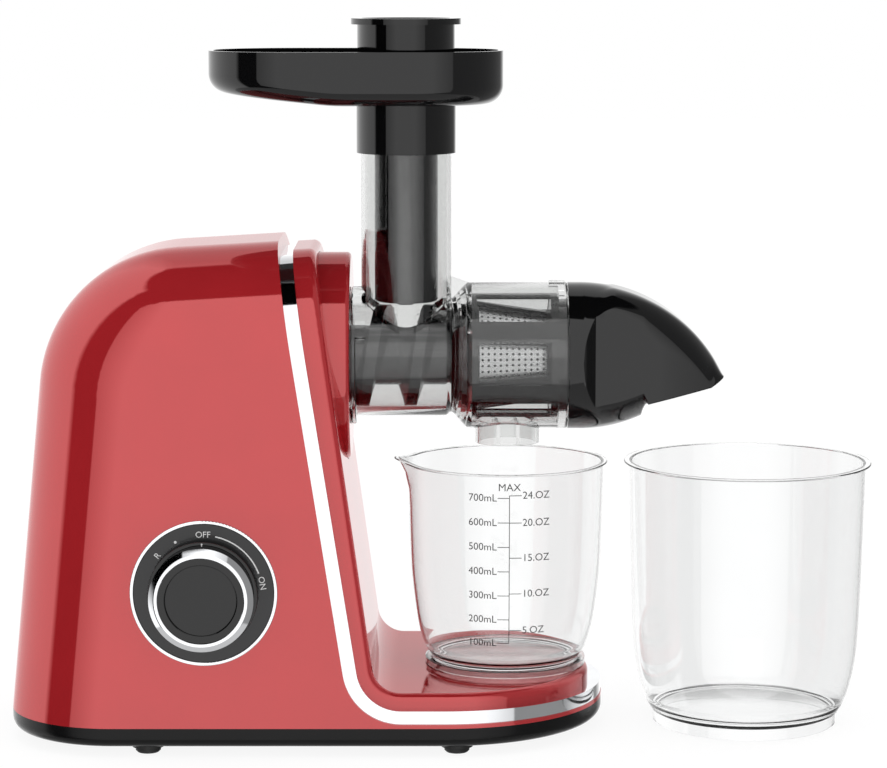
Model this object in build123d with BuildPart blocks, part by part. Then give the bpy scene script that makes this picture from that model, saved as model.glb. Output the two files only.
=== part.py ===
from build123d import *
import os
from math import acos, atan2, ceil, cos, degrees, floor, pi, radians, sin, sqrt, tan

# Horizontal cold press juicer. All sizes are in millimetres.
# The model stands on z = 0. X runs along the drive axis, from the motor towards
# the pulp outlet, and the machine's mid-plane is y = 0 while it is built. When the
# pieces are written they move together, so that the origin is the middle of the
# footprint.

# ---- Clearances ----------------------------------------------------------------
slip = 0.3            # between pieces that are put together by hand
run = 0.05            # radial, between a shaft and its bore
seat = 0.1            # radial, between a fixed piece and its seat

# ---- Motor base: casing --------------------------------------------------------
rear_x = -231.5       # foot of the rear wall
nose_x = 86.0         # front end of the foot
nose_start_x = 0.0    # where the elliptical nose starts
half_width = 84.0
pan_top_z = 15.4      # rim of the base pan, and foot of the shells
crown_x = -87.0       # where the crown's height is taken
crown_z = 264.9
rear_lean = 5.7       # degrees from upright
crown_fall = 3.4      # degrees, the crown falls towards the rear
crown_radius = 78.0   # between rear wall and crown
edge_radius = 58.0    # round all along the rear and the crown
wall = 2.8

# The seam is the line where rear shell and trim band meet.
seam_x = -48.2        # its two straight stretches, if they ran on, meet here
seam_z = 17.4
seam_lean = 8.9       # degrees from upright
seam_radius = 30.6
trim_width = 7.0
seam_lip = 3.0        # width of the rear shell's return lip beside the trim
trim_side_in = 1.0    # how far the trim lies inside the rear shell's faces
trim_crown_in = 7.4
trim_nose_in = 0.3
trim_depth = 8.0

# The front shell is held in from the rear shell's faces.
front_in = 5.0
front_nose_in = 7.4
platform_z = 32.3     # where the juice cup stands
slope_x = -35.4       # foot of the slope, on the platform's level
slope_lean = 7.95     # degrees from upright
slope_radius = 15.0
front_edge_radius = 4.0

# ---- Base pan and feet ---------------------------------------------------------
foot_height = 4.8
pan_bottom_radius = 6.0
pan_floor = 2.5
foot_pad_radius = 6.6
foot_flange_radius = 8.4
foot_pad_height = 3.0
foot_stem_radius = 3.0
foot_xs = (-155.0, 7.0)
foot_y = 70.0
vent_count = 5
vent_length = 44.0
vent_width = 3.0
vent_pitch = 8.0
vent_x = -142.0
screw_radius = 1.5
screw_head_radius = 3.0
screw_head_height = 2.2
boss_radius = 4.5
boss_height = 16.0
rear_boss_xs = (-165.0, -95.0)
rear_boss_y = 72.5
front_boss_x = 20.0
front_boss_y = 58.0

# ---- Drive line ----------------------------------------------------------------
drive_z = 200.8       # auger, drum and cap share this axis
motor_z = 130.0
motor_teeth = 12
idler_gear_teeth = 48
idler_pinion_teeth = 12
output_teeth = 40
fast_module = 1.25    # motor pinion and idler gear
slow_module = 1.5     # idler pinion and output gear
pressure_angle = 25.0
backlash = 0.16
fast_gear_width = 9.0
slow_gear_width = 13.0
gear_gap = 1.5

# ---- Collar that the drum locks into -------------------------------------------
collar_radius = 55.7
collar_face_x = -49.5
collar_back_x = -79.5
collar_step_x = -76.6  # behind this the collar is narrower, to pass inside the trim
collar_step = 4.0
collar_plate = 4.0
collar_lip = 4.0
collar_edge_radius = 2.5
socket_radius = 37.3
lug_count = 3
lug_angle = 30.0      # width of a bayonet lug, degrees
lug_width = 4.2
drum_lock_angle = 35.0

# ---- Drum ----------------------------------------------------------------------
barrel_radius = 32.5
barrel_bore = 28.0
drum_rear_x = -71.5
drum_rear_wall = 3.0
flange_radius = 37.0
flange_width = 2.5
neck_x = 2.0
neck_radius = 30.6
chamber_x = 8.0
chamber_radius = 33.0
chamber_bore = 30.6
chamber_end_x = 74.0
gutter_x = 11.6
gutter_end_x = 66.2
gutter_z = 161.5
gutter_half_width = 20.0
drum_wall = 2.0
spout_x = 34.3
spout_radius = 17.4
spout_end_z = 153.7
spout_rib_xs = (29.5, 39.6)
chute_x = -20.0
chute_half_x = 24.2
chute_half_y = 27.0
chute_wall = 2.2
chute_top_z = 338.0

# ---- Auger and strainer --------------------------------------------------------
auger_pitch = 24.8
auger_core_radius = 16.0
auger_radius = 27.4
flight_tip = 5.0
flight_root = 12.6
flight_x = -57.3      # where a flight passes over the top of the core
auger_rear_x = -66.5
auger_cone_x = 15.2   # the flights start to taper here
auger_end_x = 57.0
auger_end_radius = 21.3
nose_pin_radius = 4.0
strainer_x = 11.6
strainer_radius = 29.5
strainer_end_radius = 23.8
strainer_cone_x = 18.6
strainer_cone_end_x = 57.4
strainer_end_x = 66.0
strainer_wall = 1.6
mesh_thickness = 0.5
window_count = 6
window_angle = 40.0
window_phase = -12.0  # degrees above the near horizontal, of one window's middle
window_x = 19.6
window_end_x = 55.0

# ---- Cap -----------------------------------------------------------------------
cap_x = 66.5
cap_collar_radius = 39.5
cap_collar_end_x = 80.4
cap_tip_x = 151.4
cap_tip_z = 188.3
cap_half_width = 33.0
cap_tip_half_width = 17.0
cap_ridge_radius = 28.0
cap_wall = 2.6
cap_lip_x = 105.2
cap_turn_angle = 30.0

# ---- Tray and pusher -----------------------------------------------------------
tray_x = -46.5
tray_half_x = 78.2
tray_half_y = 52.0
tray_corner_radius = 47.0
tray_rim_z = 364.3
tray_bottom_z = 336.2
tray_wall = 2.6
tray_edge_radius = 10.0
sleeve_z = 310.0
sleeve_wall = 2.0
pusher_top_z = 381.2
pusher_flange_x = 29.3
pusher_head_x = 26.0
pusher_shoulder_z = 347.0
pusher_rod_x = 17.0
pusher_rod_y = 20.0
pusher_end_z = 230.6
pusher_wall = 2.4
pusher_flange = 3.2

# ---- Cups ----------------------------------------------------------------------
cup_wall = 1.8
juice_cup_x = 33.0
juice_cup_top_z = 144.0
juice_cup_rim_radius = 54.7
juice_cup_lip_x = -26.3
pulp_cup_x = 164.5
pulp_cup_top_z = 143.4
pulp_cup_rim_radius = 66.9

# ---- Dial and knob -------------------------------------------------------------
dial_x = -124.0
dial_z = 87.3
dial_radius = 38.2
dial_ring_width = 2.0
dial_proud = 1.0
knob_radius = 27.0
knob_face_radius = 22.6
knob_reach = 21.0     # from the casing's side to the knob's face
knob_shaft_radius = 3.0

# ---- Electrical parts ----------------------------------------------------------
gland_z = 38.0
cord_radius = 3.6
board_x = -137.0
board_z = 75.0

# ---- Sizes of inner pieces -----------------------------------------------------
screw_land = 5.4      # pan material under a shell's boss
boss_web = 3.0
dial_cover = 1.3      # how far the dial ring covers the edge of its hole
knob_ring_width = 1.6
knob_disc_radius = 18.5
switch_width = 36.0
switch_depth = 26.0
gland_radius = 6.4
output_shaft_radius = 8.0
journal_radius = 4.5
idler_pin_radius = 4.0
motor_shaft_radius = 4.0
hex_x = -73.5
hex_width = 11.0
hex_length = 13.5
case_length = 36.5
case_wall = 4.0
cover_thickness = 4.5
screw_grip = 12.0
leg_half_width = 20.0
switch_length = 20.0
motor_radius = 35.0
motor_length = 72.0
can_wall = 1.6
stack_length = 42.0
stack_radius = 26.5
fan_gap = 3.0
fan_width = 9.0
fan_radius = 30.0
board_length = 62.0
board_height = 56.0
board_thickness = 1.6
board_standoff = 14.0

grip_angle = 137.0    # of the thick band on top of the drum's rear flange
grip_width = 7.6
cap_lug_x = 69.2
cap_lug_width = 3.0
cap_lug_radius = 35.2
cap_gasket_depth = 1.2
gusset_width = 2.4
catch_x = 56.0        # catch on top of the chamber
catch_length = 8.5
catch_width = 8.0
drum_stub_radius = 8.0
auger_nose_radius = 18.5
hub_radius = 7.5
hub_length = 4.0
cap_lip_z = 175.2
cap_taper_x = 96.0

cap_crest_radius = 85.7   # round of the crest, seen from the side
cap_crest_x = 72.5
cap_tip_ridge_radius = 14.0
cap_chin_radius = 8.0
cap_underside_x = 108.9
tray_rise = 7.0       # the dish rises this much away from the chute
tray_bend = 120.0
lip_height = 22.0
lip_radius = 9.0
# Outer walls of the cups as (radius, z), and their standing rings as
# (radius, height, radius of the floor inside).
juice_wall = [(44.0, 38.5), (46.6, 48.0), (49.4, 68.0), (51.3, 115.0), (52.3, 138.0), (54.7, 144.0)]
juice_base = (42.7, 4.2, 37.0)
pulp_wall = [(51.5, 7.5), (55.7, 17.5), (59.9, 41.6), (62.0, 78.0), (63.9, 137.0), (66.9, 143.4)]
pulp_base = (49.7, 6.0, 46.0)

high = 400.0          # beyond every face of the machine
casing_middle = Plane.XZ


def turned(profile, y=0.0, z=drive_z):
    """Solid of revolution about the line along X through (y, z), from (x, radius) points."""
    middle = Plane(origin=(0, y, z), x_dir=(1, 0, 0), z_dir=(0, -1, 0))
    with BuildPart() as solid:
        with BuildSketch(middle):
            with BuildLine():
                Polyline(*profile, close=True)
            make_face()
        revolve(axis=Axis((0, y, z), (1, 0, 0)))
    return solid.part


def ring(x, end_x, outer, bore, y=0.0, z=drive_z):
    """Plain ring or, with no bore, a disc along X."""
    return turned([(x, bore), (end_x, bore), (end_x, outer), (x, outer)], y, z)


def spun(profile, x=0.0, y=0.0):
    """Solid of revolution about the upright line through (x, y), from (radius, z) points."""
    with BuildPart() as solid:
        with BuildSketch(Plane(origin=(x, y, 0), x_dir=(1, 0, 0), z_dir=(0, -1, 0))):
            with BuildLine():
                Polyline(*profile, close=True)
            make_face()
        revolve(axis=Axis((x, y, 0), (0, 0, 1)))
    return solid.part


# ---- Casing forms --------------------------------------------------------------
def foot_outline(side_in, nose_in, square_rear=False):
    """Plan of the casing: rounded rear corners and an elliptical nose."""
    with BuildSketch() as plan:
        rear = rear_x + side_in - (half_width if square_rear else 0)
        with Locations(((rear + nose_start_x) / 2, 0)):
            Rectangle(nose_start_x - rear, 2 * (half_width - side_in))
        if not square_rear:
            fillet(plan.vertices().group_by(Axis.X)[0], edge_radius - side_in)
        with Locations((nose_start_x, 0)):
            Ellipse(nose_x - nose_start_x - nose_in, half_width - side_in)
    return plan.sketch


def casing_form(side_in, crown_in, nose_in):
    """The whole casing's body, held in from its side, crown and nose faces."""
    lean, fall = tan(radians(rear_lean)), tan(radians(crown_fall))
    foot_x = rear_x + side_in
    crown = crown_z - crown_in
    corner_x = (foot_x + lean * (crown - fall * crown_x - pan_top_z)) / (1 - lean * fall)
    front_x = nose_x + half_width

    def crown_at(x):
        return crown + fall * (x - crown_x)

    with BuildPart() as form:
        with BuildSketch(casing_middle):
            with BuildLine():
                FilletPolyline(
                    (foot_x, pan_top_z), (corner_x, crown_at(corner_x)), (front_x, crown_at(front_x)),
                    radius=crown_radius - crown_in,
                )
                Polyline((front_x, crown_at(front_x)), (front_x, pan_top_z), (foot_x, pan_top_z))
            make_face()
        extrude(amount=half_width - side_in, both=True)
        sides = form.faces().sort_by(Axis.Y)
        outline = (sides[0].edges() + sides[-1].edges()).filter_by(
            lambda edge: edge.center().Z > pan_top_z + 1 and edge.center().X < front_x - 1
        )
        fillet(outline, edge_radius - (side_in + crown_in) / 2)
        with BuildSketch(Plane.XY.offset(pan_top_z)):
            add(foot_outline(side_in, nose_in, square_rear=True))
        extrude(amount=high, mode=Mode.INTERSECT)
    return form.part


def behind_line(foot_x, foot_z, lean, radius):
    """Everything behind and below a leaning line that bends forward at its foot."""
    top_x = foot_x - tan(radians(lean)) * (high - foot_z)
    with BuildPart() as region:
        with BuildSketch(casing_middle):
            with BuildLine():
                FilletPolyline((top_x, high), (foot_x, foot_z), (high, foot_z), radius=radius)
                Polyline((high, foot_z), (high, 0), (-high, 0), (-high, high), (top_x, high))
            make_face()
        extrude(amount=2 * half_width, both=True)
    return region.part


def behind_seam(step):
    """Everything behind the seam line, moved forward by step."""
    lean = radians(seam_lean)
    foot_x = seam_x + step * (1 / cos(lean) - tan(lean))
    return behind_line(foot_x, seam_z + step, seam_lean, seam_radius - step)


def front_form(depth):
    """Body of the front shell, depth inside its outer faces."""
    lean = radians(slope_lean)
    foot_x = slope_x - depth * (1 / cos(lean) - tan(lean))
    slope = behind_line(foot_x, platform_z - depth, slope_lean, slope_radius + depth)
    with BuildPart() as form:
        add(casing_form(front_in + depth, front_in + depth, front_nose_in + depth))
        add(slope, mode=Mode.INTERSECT)
        edge = front_edge_radius - depth
        if edge > 0.5:
            fillet(slope_edges(form), edge)
    return form.part


def slope_edges(form):
    """Edges all round the slope and the platform, in one run over the crown and the nose."""
    across = form.edges(Select.NEW).filter_by(Axis.Y)
    run_round = form.edges(Select.NEW) - across
    return run_round + across.filter_by(lambda edge: edge.center().Z > crown_z / 2)


# ---- Shared sketches -----------------------------------------------------------
def across(x, y=0.0, z=drive_z):
    """Plane square to the drive line: its first axis is +Y and its second +Z."""
    return Plane(origin=(x, y, z), x_dir=(0, 1, 0), z_dir=(1, 0, 0))


def near_side(y):
    """Upright plane that faces the user, with (x, z) as its coordinates."""
    return Plane(origin=(0, y, 0), x_dir=(1, 0, 0), z_dir=(0, -1, 0))


def sector(inner, outer, middle, width):
    """Part of a ring, with its middle and its width in degrees."""
    with BuildSketch() as area:
        with BuildLine():
            far = CenterArc((0, 0), outer, middle - width / 2, width)
            near = CenterArc((0, 0), inner, middle - width / 2, width)
            Line(far @ 0, near @ 0)
            Line(far @ 1, near @ 1)
        make_face()
    return area.sketch


def gear_outline(teeth, module, phase):
    """Involute spur gear with the middle of one tooth at phase, in degrees."""
    angle = radians(pressure_angle)
    pitch_radius = module * teeth / 2
    base_radius = pitch_radius * cos(angle)
    root, tip = pitch_radius - 1.25 * module, pitch_radius + 0.95 * module
    half_tooth = pi / (2 * teeth) - backlash / (2 * pitch_radius) + tan(angle) - angle

    def half_width_at(radius):
        roll = acos(min(1.0, base_radius / radius))
        return half_tooth - tan(roll) + roll

    radii = sorted({root, max(root, base_radius), pitch_radius, tip})
    flank = [(radius, half_width_at(radius)) for radius in radii]
    points = []
    for tooth in range(teeth):
        middle = radians(phase) + 2 * pi * tooth / teeth
        rising = [(radius, middle - half) for radius, half in flank]
        falling = [(radius, middle + half) for radius, half in reversed(flank)]
        points += [(radius * cos(turn), radius * sin(turn)) for radius, turn in rising + falling]
    with BuildSketch() as outline:
        with BuildLine():
            Polyline(*points, close=True)
        make_face()
    return outline.sketch


def gear(teeth, module, phase, x, width, bore, y, z):
    """Spur gear along X, bored for its shaft."""
    with BuildPart() as blank:
        with BuildSketch(across(x, y, z)):
            add(gear_outline(teeth, module, phase))
            Circle(bore, mode=Mode.SUBTRACT)
        extrude(amount=width)
    return blank.part


def box_between(low, high_corner):
    """Plain block from its lowest to its highest corner."""
    size = [high_corner[i] - low[i] for i in range(3)]
    with BuildPart() as block:
        with Locations(tuple(low)):
            Box(*size, align=(Align.MIN, Align.MIN, Align.MIN))
    return block.part


# ---- Base pan ------------------------------------------------------------------
foot_places = [(x, side * foot_y) for x in foot_xs for side in (-1, 1)]
rear_screws = [(x, side * rear_boss_y) for x in rear_boss_xs for side in (-1, 1)]
front_screws = [(front_boss_x, side * front_boss_y) for side in (-1, 1)]
screw_places = rear_screws + front_screws
floor_z = foot_height + pan_floor
screw_seat_z = pan_top_z - screw_land

with BuildPart() as base_pan:
    with BuildSketch(Plane.XY.offset(foot_height)):
        add(foot_outline(seat, seat))
    extrude(amount=pan_top_z - foot_height)
    fillet(base_pan.faces().sort_by(Axis.Z)[0].edges(), pan_bottom_radius)
    with BuildSketch(Plane.XY.offset(floor_z)):
        add(foot_outline(wall, wall))
    extrude(amount=pan_top_z, mode=Mode.SUBTRACT)
    with BuildSketch(Plane.XY.offset(floor_z)):
        with Locations(*screw_places):
            Circle(boss_radius)
    extrude(amount=pan_top_z - floor_z)
    with BuildSketch(Plane.XY.offset(foot_height)):
        with Locations(*screw_places):
            Circle(screw_head_radius + slip)
    extrude(amount=screw_seat_z - foot_height, mode=Mode.SUBTRACT)
    with BuildSketch(Plane.XY.offset(foot_height)):
        with Locations(*screw_places):
            Circle(screw_radius + seat)
        with Locations(*foot_places):
            Circle(foot_stem_radius)
        with Locations((vent_x, 0)):
            with GridLocations(vent_pitch, 1, vent_count, 1):
                SlotOverall(vent_length, vent_width, rotation=90)
    extrude(amount=pan_top_z, mode=Mode.SUBTRACT)
base_pan.part.label = "base_pan"

foot_profile = [
    (0, 0), (foot_pad_radius - 1, 0), (foot_pad_radius, 1), (foot_pad_radius, foot_pad_height),
    (foot_flange_radius, foot_pad_height), (foot_flange_radius, foot_height),
    (foot_stem_radius - seat, foot_height), (foot_stem_radius - seat, floor_z),
    (foot_stem_radius + 1, floor_z), (foot_stem_radius - 1, floor_z + 2), (0, floor_z + 2),
]
with BuildPart() as rubber_feet:
    for x, y in foot_places:
        add(spun(foot_profile, x, y))
rubber_feet.part.label = "rubber_feet"

screw_top_z = pan_top_z + boss_height - 4
screw_profile = [
    (0, screw_seat_z - screw_head_height), (screw_head_radius, screw_seat_z - screw_head_height),
    (screw_head_radius, screw_seat_z), (screw_radius, screw_seat_z), (screw_radius, screw_top_z),
    (0, screw_top_z),
]
with BuildPart() as base_screws:
    for x, y in screw_places:
        add(spun(screw_profile, x, y))
base_screws.part.label = "base_screws"


# ---- Rear shell, trim band and front shell -------------------------------------
outer_form = casing_form(0, 0, 0)
trim_back = casing_form(
    trim_side_in + trim_depth, trim_crown_in + trim_depth / 2, trim_nose_in + trim_depth + 2
)
rear_region = behind_seam(0)
side_y = half_width - wall
dial_hole_radius = dial_radius - dial_cover
gland_lean = Plane(
    origin=(rear_x + tan(radians(rear_lean)) * (gland_z - pan_top_z), 0, gland_z),
    x_dir=(0, 1, 0),
    z_dir=(-cos(radians(rear_lean)), 0, sin(radians(rear_lean))),
)

with BuildPart() as rear_lip:
    add(outer_form)
    add(trim_back, mode=Mode.SUBTRACT)
    add(rear_region, mode=Mode.INTERSECT)
    add(behind_seam(-seam_lip), mode=Mode.SUBTRACT)

with BuildPart() as rear_shell:
    add(outer_form)
    add(casing_form(wall, wall, wall), mode=Mode.SUBTRACT)
    add(rear_region, mode=Mode.INTERSECT)
    add(rear_lip.part)
    with BuildSketch(Plane.XY.offset(pan_top_z)):
        with Locations(*rear_screws):
            Circle(boss_radius)
        for x, y in rear_screws:
            with Locations((x, (y + (half_width if y > 0 else -half_width)) / 2)):
                Rectangle(boss_web, half_width - rear_boss_y - wall)
    extrude(amount=boss_height)
    with BuildSketch(Plane.XY.offset(pan_top_z)):
        with Locations(*rear_screws):
            Circle(screw_radius)
    extrude(amount=boss_height, mode=Mode.SUBTRACT)
    with BuildSketch(near_side(-half_width)):
        with Locations((dial_x, dial_z)):
            Circle(dial_hole_radius)
    extrude(amount=-2 * wall, mode=Mode.SUBTRACT)
    with BuildSketch(gland_lean):
        Circle(gland_radius + seat)
    extrude(amount=-2 * wall, mode=Mode.SUBTRACT)
rear_shell.part.label = "rear_shell"

with BuildPart() as trim_band:
    add(casing_form(trim_side_in, trim_crown_in, trim_nose_in))
    add(trim_back, mode=Mode.SUBTRACT)
    add(behind_seam(trim_width), mode=Mode.INTERSECT)
    add(rear_region, mode=Mode.SUBTRACT)
trim_band.part.label = "trim_band"

with BuildPart() as front_shell:
    add(front_form(0))
    add(front_form(wall), mode=Mode.SUBTRACT)
    add(behind_seam(trim_width), mode=Mode.SUBTRACT)
    with BuildSketch(Plane.XY.offset(pan_top_z)):
        with Locations(*front_screws):
            Circle(boss_radius)
    extrude(amount=platform_z - wall - pan_top_z + 0.5)
    with BuildSketch(Plane.XY.offset(pan_top_z)):
        with Locations(*front_screws):
            Circle(screw_radius)
    extrude(amount=platform_z - wall - pan_top_z, mode=Mode.SUBTRACT)
    add(ring(collar_back_x, 0, collar_radius + slip, 0), mode=Mode.SUBTRACT)
front_shell.part.label = "front_shell"


# ---- Collar --------------------------------------------------------------------
lug_middles = [90 + turn * 360 / lug_count for turn in range(lug_count)]
collar_bore = barrel_radius + slip
seal_radius = output_shaft_radius + 3
socket_floor_x = collar_back_x + collar_plate
with BuildPart() as drive_collar:
    add(ring(collar_back_x, collar_face_x, collar_radius, 0))
    fillet(drive_collar.edges().group_by(Axis.X)[-1], collar_edge_radius)
    add(ring(collar_back_x, collar_step_x, collar_radius + 1, collar_radius - collar_step),
        mode=Mode.SUBTRACT)
    add(ring(socket_floor_x, collar_face_x, collar_bore, 0), mode=Mode.SUBTRACT)
    add(ring(socket_floor_x, collar_face_x - collar_lip, socket_radius, 0), mode=Mode.SUBTRACT)
    add(ring(collar_back_x, collar_face_x - collar_lip, collar_radius - wall, socket_radius + wall),
        mode=Mode.SUBTRACT)
    add(ring(collar_back_x, socket_floor_x, seal_radius, 0), mode=Mode.SUBTRACT)
    with BuildSketch(across(collar_face_x)):
        for middle in lug_middles:
            add(sector(collar_bore - 1, socket_radius, middle + drum_lock_angle, lug_angle + 3))
    extrude(amount=-collar_lip, mode=Mode.SUBTRACT)
drive_collar.part.label = "drive_collar"

with BuildPart() as shaft_seal:
    add(ring(collar_back_x, socket_floor_x, seal_radius - seat, output_shaft_radius + run))
shaft_seal.part.label = "shaft_seal"


# ---- Dial ----------------------------------------------------------------------
dial_face_y = -half_width - dial_proud / 2
dial_plate_radius = dial_radius - dial_ring_width
dial_axis = Axis((dial_x, 0, dial_z), (0, 1, 0))


def dial_disc(near_y, far_y, outer, bore=0.0):
    """Ring or disc on the dial's axis, between two distances from the mid-plane."""
    with BuildPart() as disc:
        with BuildSketch(near_side(near_y)):
            with Locations((dial_x, dial_z)):
                Circle(outer)
                if bore:
                    Circle(bore, mode=Mode.SUBTRACT)
        extrude(amount=near_y - far_y)
    return disc.part


with BuildPart() as dial_ring:
    add(dial_disc(-half_width - dial_proud, -half_width, dial_radius, dial_plate_radius + seat))
    fillet(dial_ring.edges().group_by(Axis.Y)[0], dial_proud / 2.5)
    add(dial_disc(-half_width, -side_y, dial_hole_radius - seat, dial_plate_radius + seat))
dial_ring.part.label = "dial_ring"

with BuildPart() as dial_plate:
    add(dial_disc(dial_face_y, -side_y, dial_plate_radius))
    add(dial_disc(-side_y, -side_y + 1.5, dial_radius + 1.5))
    add(dial_disc(dial_face_y, -side_y + 1.5, knob_shaft_radius + slip), mode=Mode.SUBTRACT)
dial_plate.part.label = "dial_plate"

switch_y = -side_y + 1.5
with BuildPart() as rotary_switch:
    with BuildSketch(near_side(switch_y)):
        with Locations((dial_x, dial_z)):
            RectangleRounded(switch_width, switch_width, 3)
    extrude(amount=-switch_depth)
    fillet(rotary_switch.edges().group_by(Axis.Y)[-1], 2)
    with BuildSketch(near_side(switch_y)):
        with Locations((dial_x, dial_z)):
            Circle(knob_shaft_radius + run)
    extrude(amount=-switch_depth / 2, mode=Mode.SUBTRACT)
    with BuildSketch(near_side(switch_y + switch_depth)):
        with Locations((dial_x, dial_z)):
            with GridLocations(9, 16, 3, 2):
                Rectangle(6, 0.8)
    extrude(amount=-7)
rotary_switch.part.label = "rotary_switch"

knob_back_y = dial_face_y - slip
knob_front_y = -half_width - knob_reach
knob_profile = [
    (0, knob_front_y + 6), (knob_face_radius - 3, knob_front_y + 6), (knob_radius - 4, knob_back_y),
    (0, knob_back_y),
]


def knob_turned(profile):
    """Solid of revolution about the dial's axis, from (radius, y) points."""
    with BuildPart() as solid:
        with BuildSketch(Plane(origin=(dial_x, 0, dial_z), x_dir=(1, 0, 0), z_dir=(0, 0, 1))):
            with BuildLine():
                Polyline(*profile, close=True)
            make_face()
        revolve(axis=dial_axis)
    return solid.part


face_in = knob_face_radius - knob_ring_width
with BuildPart() as knob_ring:
    add(knob_turned([
        (knob_radius - 4, knob_back_y), (knob_radius, knob_back_y), (knob_radius, knob_back_y - 2.5),
        (knob_face_radius + 0.6, knob_front_y + 1.2), (knob_face_radius - 0.4, knob_front_y),
        (face_in, knob_front_y), (face_in, knob_front_y + 3), (face_in - 1, knob_front_y + 5),
    ]))
knob_ring.part.label = "knob_ring"

with BuildPart() as knob_face:
    add(knob_turned([
        (0, knob_front_y + 2.6), (knob_disc_radius - 3, knob_front_y + 2.2),
        (knob_disc_radius, knob_front_y + 1.2), (knob_disc_radius + 0.4, knob_front_y + 1.8),
        (face_in - seat, knob_front_y + 1.0), (face_in - seat, knob_front_y + 3),
        (face_in - 1, knob_front_y + 5), (0, knob_front_y + 5),
    ]))
knob_face.part.label = "knob_face"

with BuildPart() as knob_body:
    add(knob_turned([
        (knob_shaft_radius + 3, knob_back_y), (knob_shaft_radius + 3, knob_front_y + 8),
        (knob_radius - 7, knob_front_y + 8), (knob_radius - 6.5, knob_back_y), (knob_radius - 4, knob_back_y),
        (face_in - 1, knob_front_y + 5), (0, knob_front_y + 5), (0, knob_front_y + 6),
        (knob_shaft_radius, knob_front_y + 6), (knob_shaft_radius, knob_back_y),
    ]))
knob_body.part.label = "knob_body"

with BuildPart() as knob_shaft:
    with BuildSketch(near_side(knob_front_y + 6)):
        with Locations((dial_x, dial_z)):
            Circle(knob_shaft_radius)
    extrude(amount=-(switch_y + switch_depth / 2 - 1 - knob_front_y - 6))
knob_shaft.part.label = "knob_shaft"


# ---- Gear train ----------------------------------------------------------------
fast_centres = fast_module * (motor_teeth + idler_gear_teeth) / 2
slow_centres = slow_module * (idler_pinion_teeth + output_teeth) / 2
axis_drop = drive_z - motor_z
idler_rise = (fast_centres**2 - slow_centres**2 + axis_drop**2) / (2 * axis_drop)
idler_y = sqrt(fast_centres**2 - idler_rise**2)
idler_z = motor_z + idler_rise
to_idler = degrees(atan2(idler_rise, idler_y))
to_output = degrees(atan2(drive_z - idler_z, -idler_y))
fast_tip = fast_module * (idler_gear_teeth / 2 + 0.95)
slow_tip = slow_module * (output_teeth / 2 + 0.95)
case_x = collar_back_x - cover_thickness - case_length
case_floor_x = case_x + case_wall
cover_x = collar_back_x - cover_thickness
fast_x = case_floor_x + gear_gap
slow_x = fast_x + fast_gear_width + gear_gap

with BuildPart() as motor_pinion:
    add(gear(motor_teeth, fast_module, to_idler, fast_x, fast_gear_width, motor_shaft_radius, 0, motor_z))
motor_pinion.part.label = "motor_pinion"

with BuildPart() as idler_gear:
    half_step = 180 / idler_gear_teeth
    add(gear(idler_gear_teeth, fast_module, to_idler + 180 + half_step, fast_x, fast_gear_width,
             idler_pin_radius + run, idler_y, idler_z))
    with BuildSketch(across(fast_x, idler_y, idler_z)):
        with PolarLocations(fast_tip * 0.62, 6):
            Circle(fast_tip * 0.17)
    extrude(amount=fast_gear_width, mode=Mode.SUBTRACT)
idler_gear.part.label = "idler_gear"

with BuildPart() as idler_pinion:
    add(gear(idler_pinion_teeth, slow_module, to_output, fast_x + fast_gear_width,
             gear_gap + slow_gear_width, idler_pin_radius + run, idler_y, idler_z))
idler_pinion.part.label = "idler_pinion"

with BuildPart() as output_gear:
    half_step = 180 / output_teeth
    add(gear(output_teeth, slow_module, to_output + 180 + half_step, slow_x, slow_gear_width,
             output_shaft_radius, 0, drive_z))
    with BuildSketch(across(slow_x, 0, drive_z)):
        with PolarLocations(slow_tip * 0.62, 6):
            Circle(slow_tip * 0.17)
    extrude(amount=slow_gear_width, mode=Mode.SUBTRACT)
output_gear.part.label = "output_gear"

journal_x = slow_x - gear_gap
with BuildPart() as output_shaft:
    add(ring(case_x + 1, journal_x, journal_radius, 0))
    add(ring(journal_x, hex_x, output_shaft_radius, 0))
    with BuildSketch(across(hex_x)):
        RegularPolygon(hex_width / 2, 6, major_radius=False)
    extrude(amount=hex_length)
    chamfer(output_shaft.edges().group_by(Axis.X)[-1], 0.8)
output_shaft.part.label = "output_shaft"

with BuildPart() as idler_pin:
    add(ring(case_x + 1, cover_x + 2, idler_pin_radius, 0, idler_y, idler_z))
idler_pin.part.label = "idler_pin"

with BuildPart() as output_bearings:
    add(ring(case_floor_x - 1, case_floor_x - 1 + 6, journal_radius + 2.6, journal_radius + run))
    add(ring(cover_x, collar_back_x, output_shaft_radius + 5, output_shaft_radius + run))
output_bearings.part.label = "output_bearings"


def case_outline(extra):
    """Outline round all three gear axes, extra outside the gears' room."""
    with BuildSketch() as outline:
        Circle(slow_tip + 1.5 + extra)
        with Locations((idler_y, idler_z - drive_z)):
            Circle(fast_tip + 1.5 + extra)
        with Locations((0, motor_z - drive_z)):
            Circle(fast_module * (motor_teeth / 2 + 1) + 1.5 + extra)
        make_hull()
    return outline.sketch


ear_reach = slow_tip + 1.5 + case_wall + 1
low_ear = motor_z - drive_z - fast_module * (motor_teeth / 2 + 1) - 1.5
ear_places = [
    (ear_reach * cos(radians(20)), ear_reach * sin(radians(20))),
    (ear_reach * cos(radians(145)), ear_reach * sin(radians(145))),
    (-8.0, low_ear - 3),
    (22.0, low_ear + 10),
]

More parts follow.
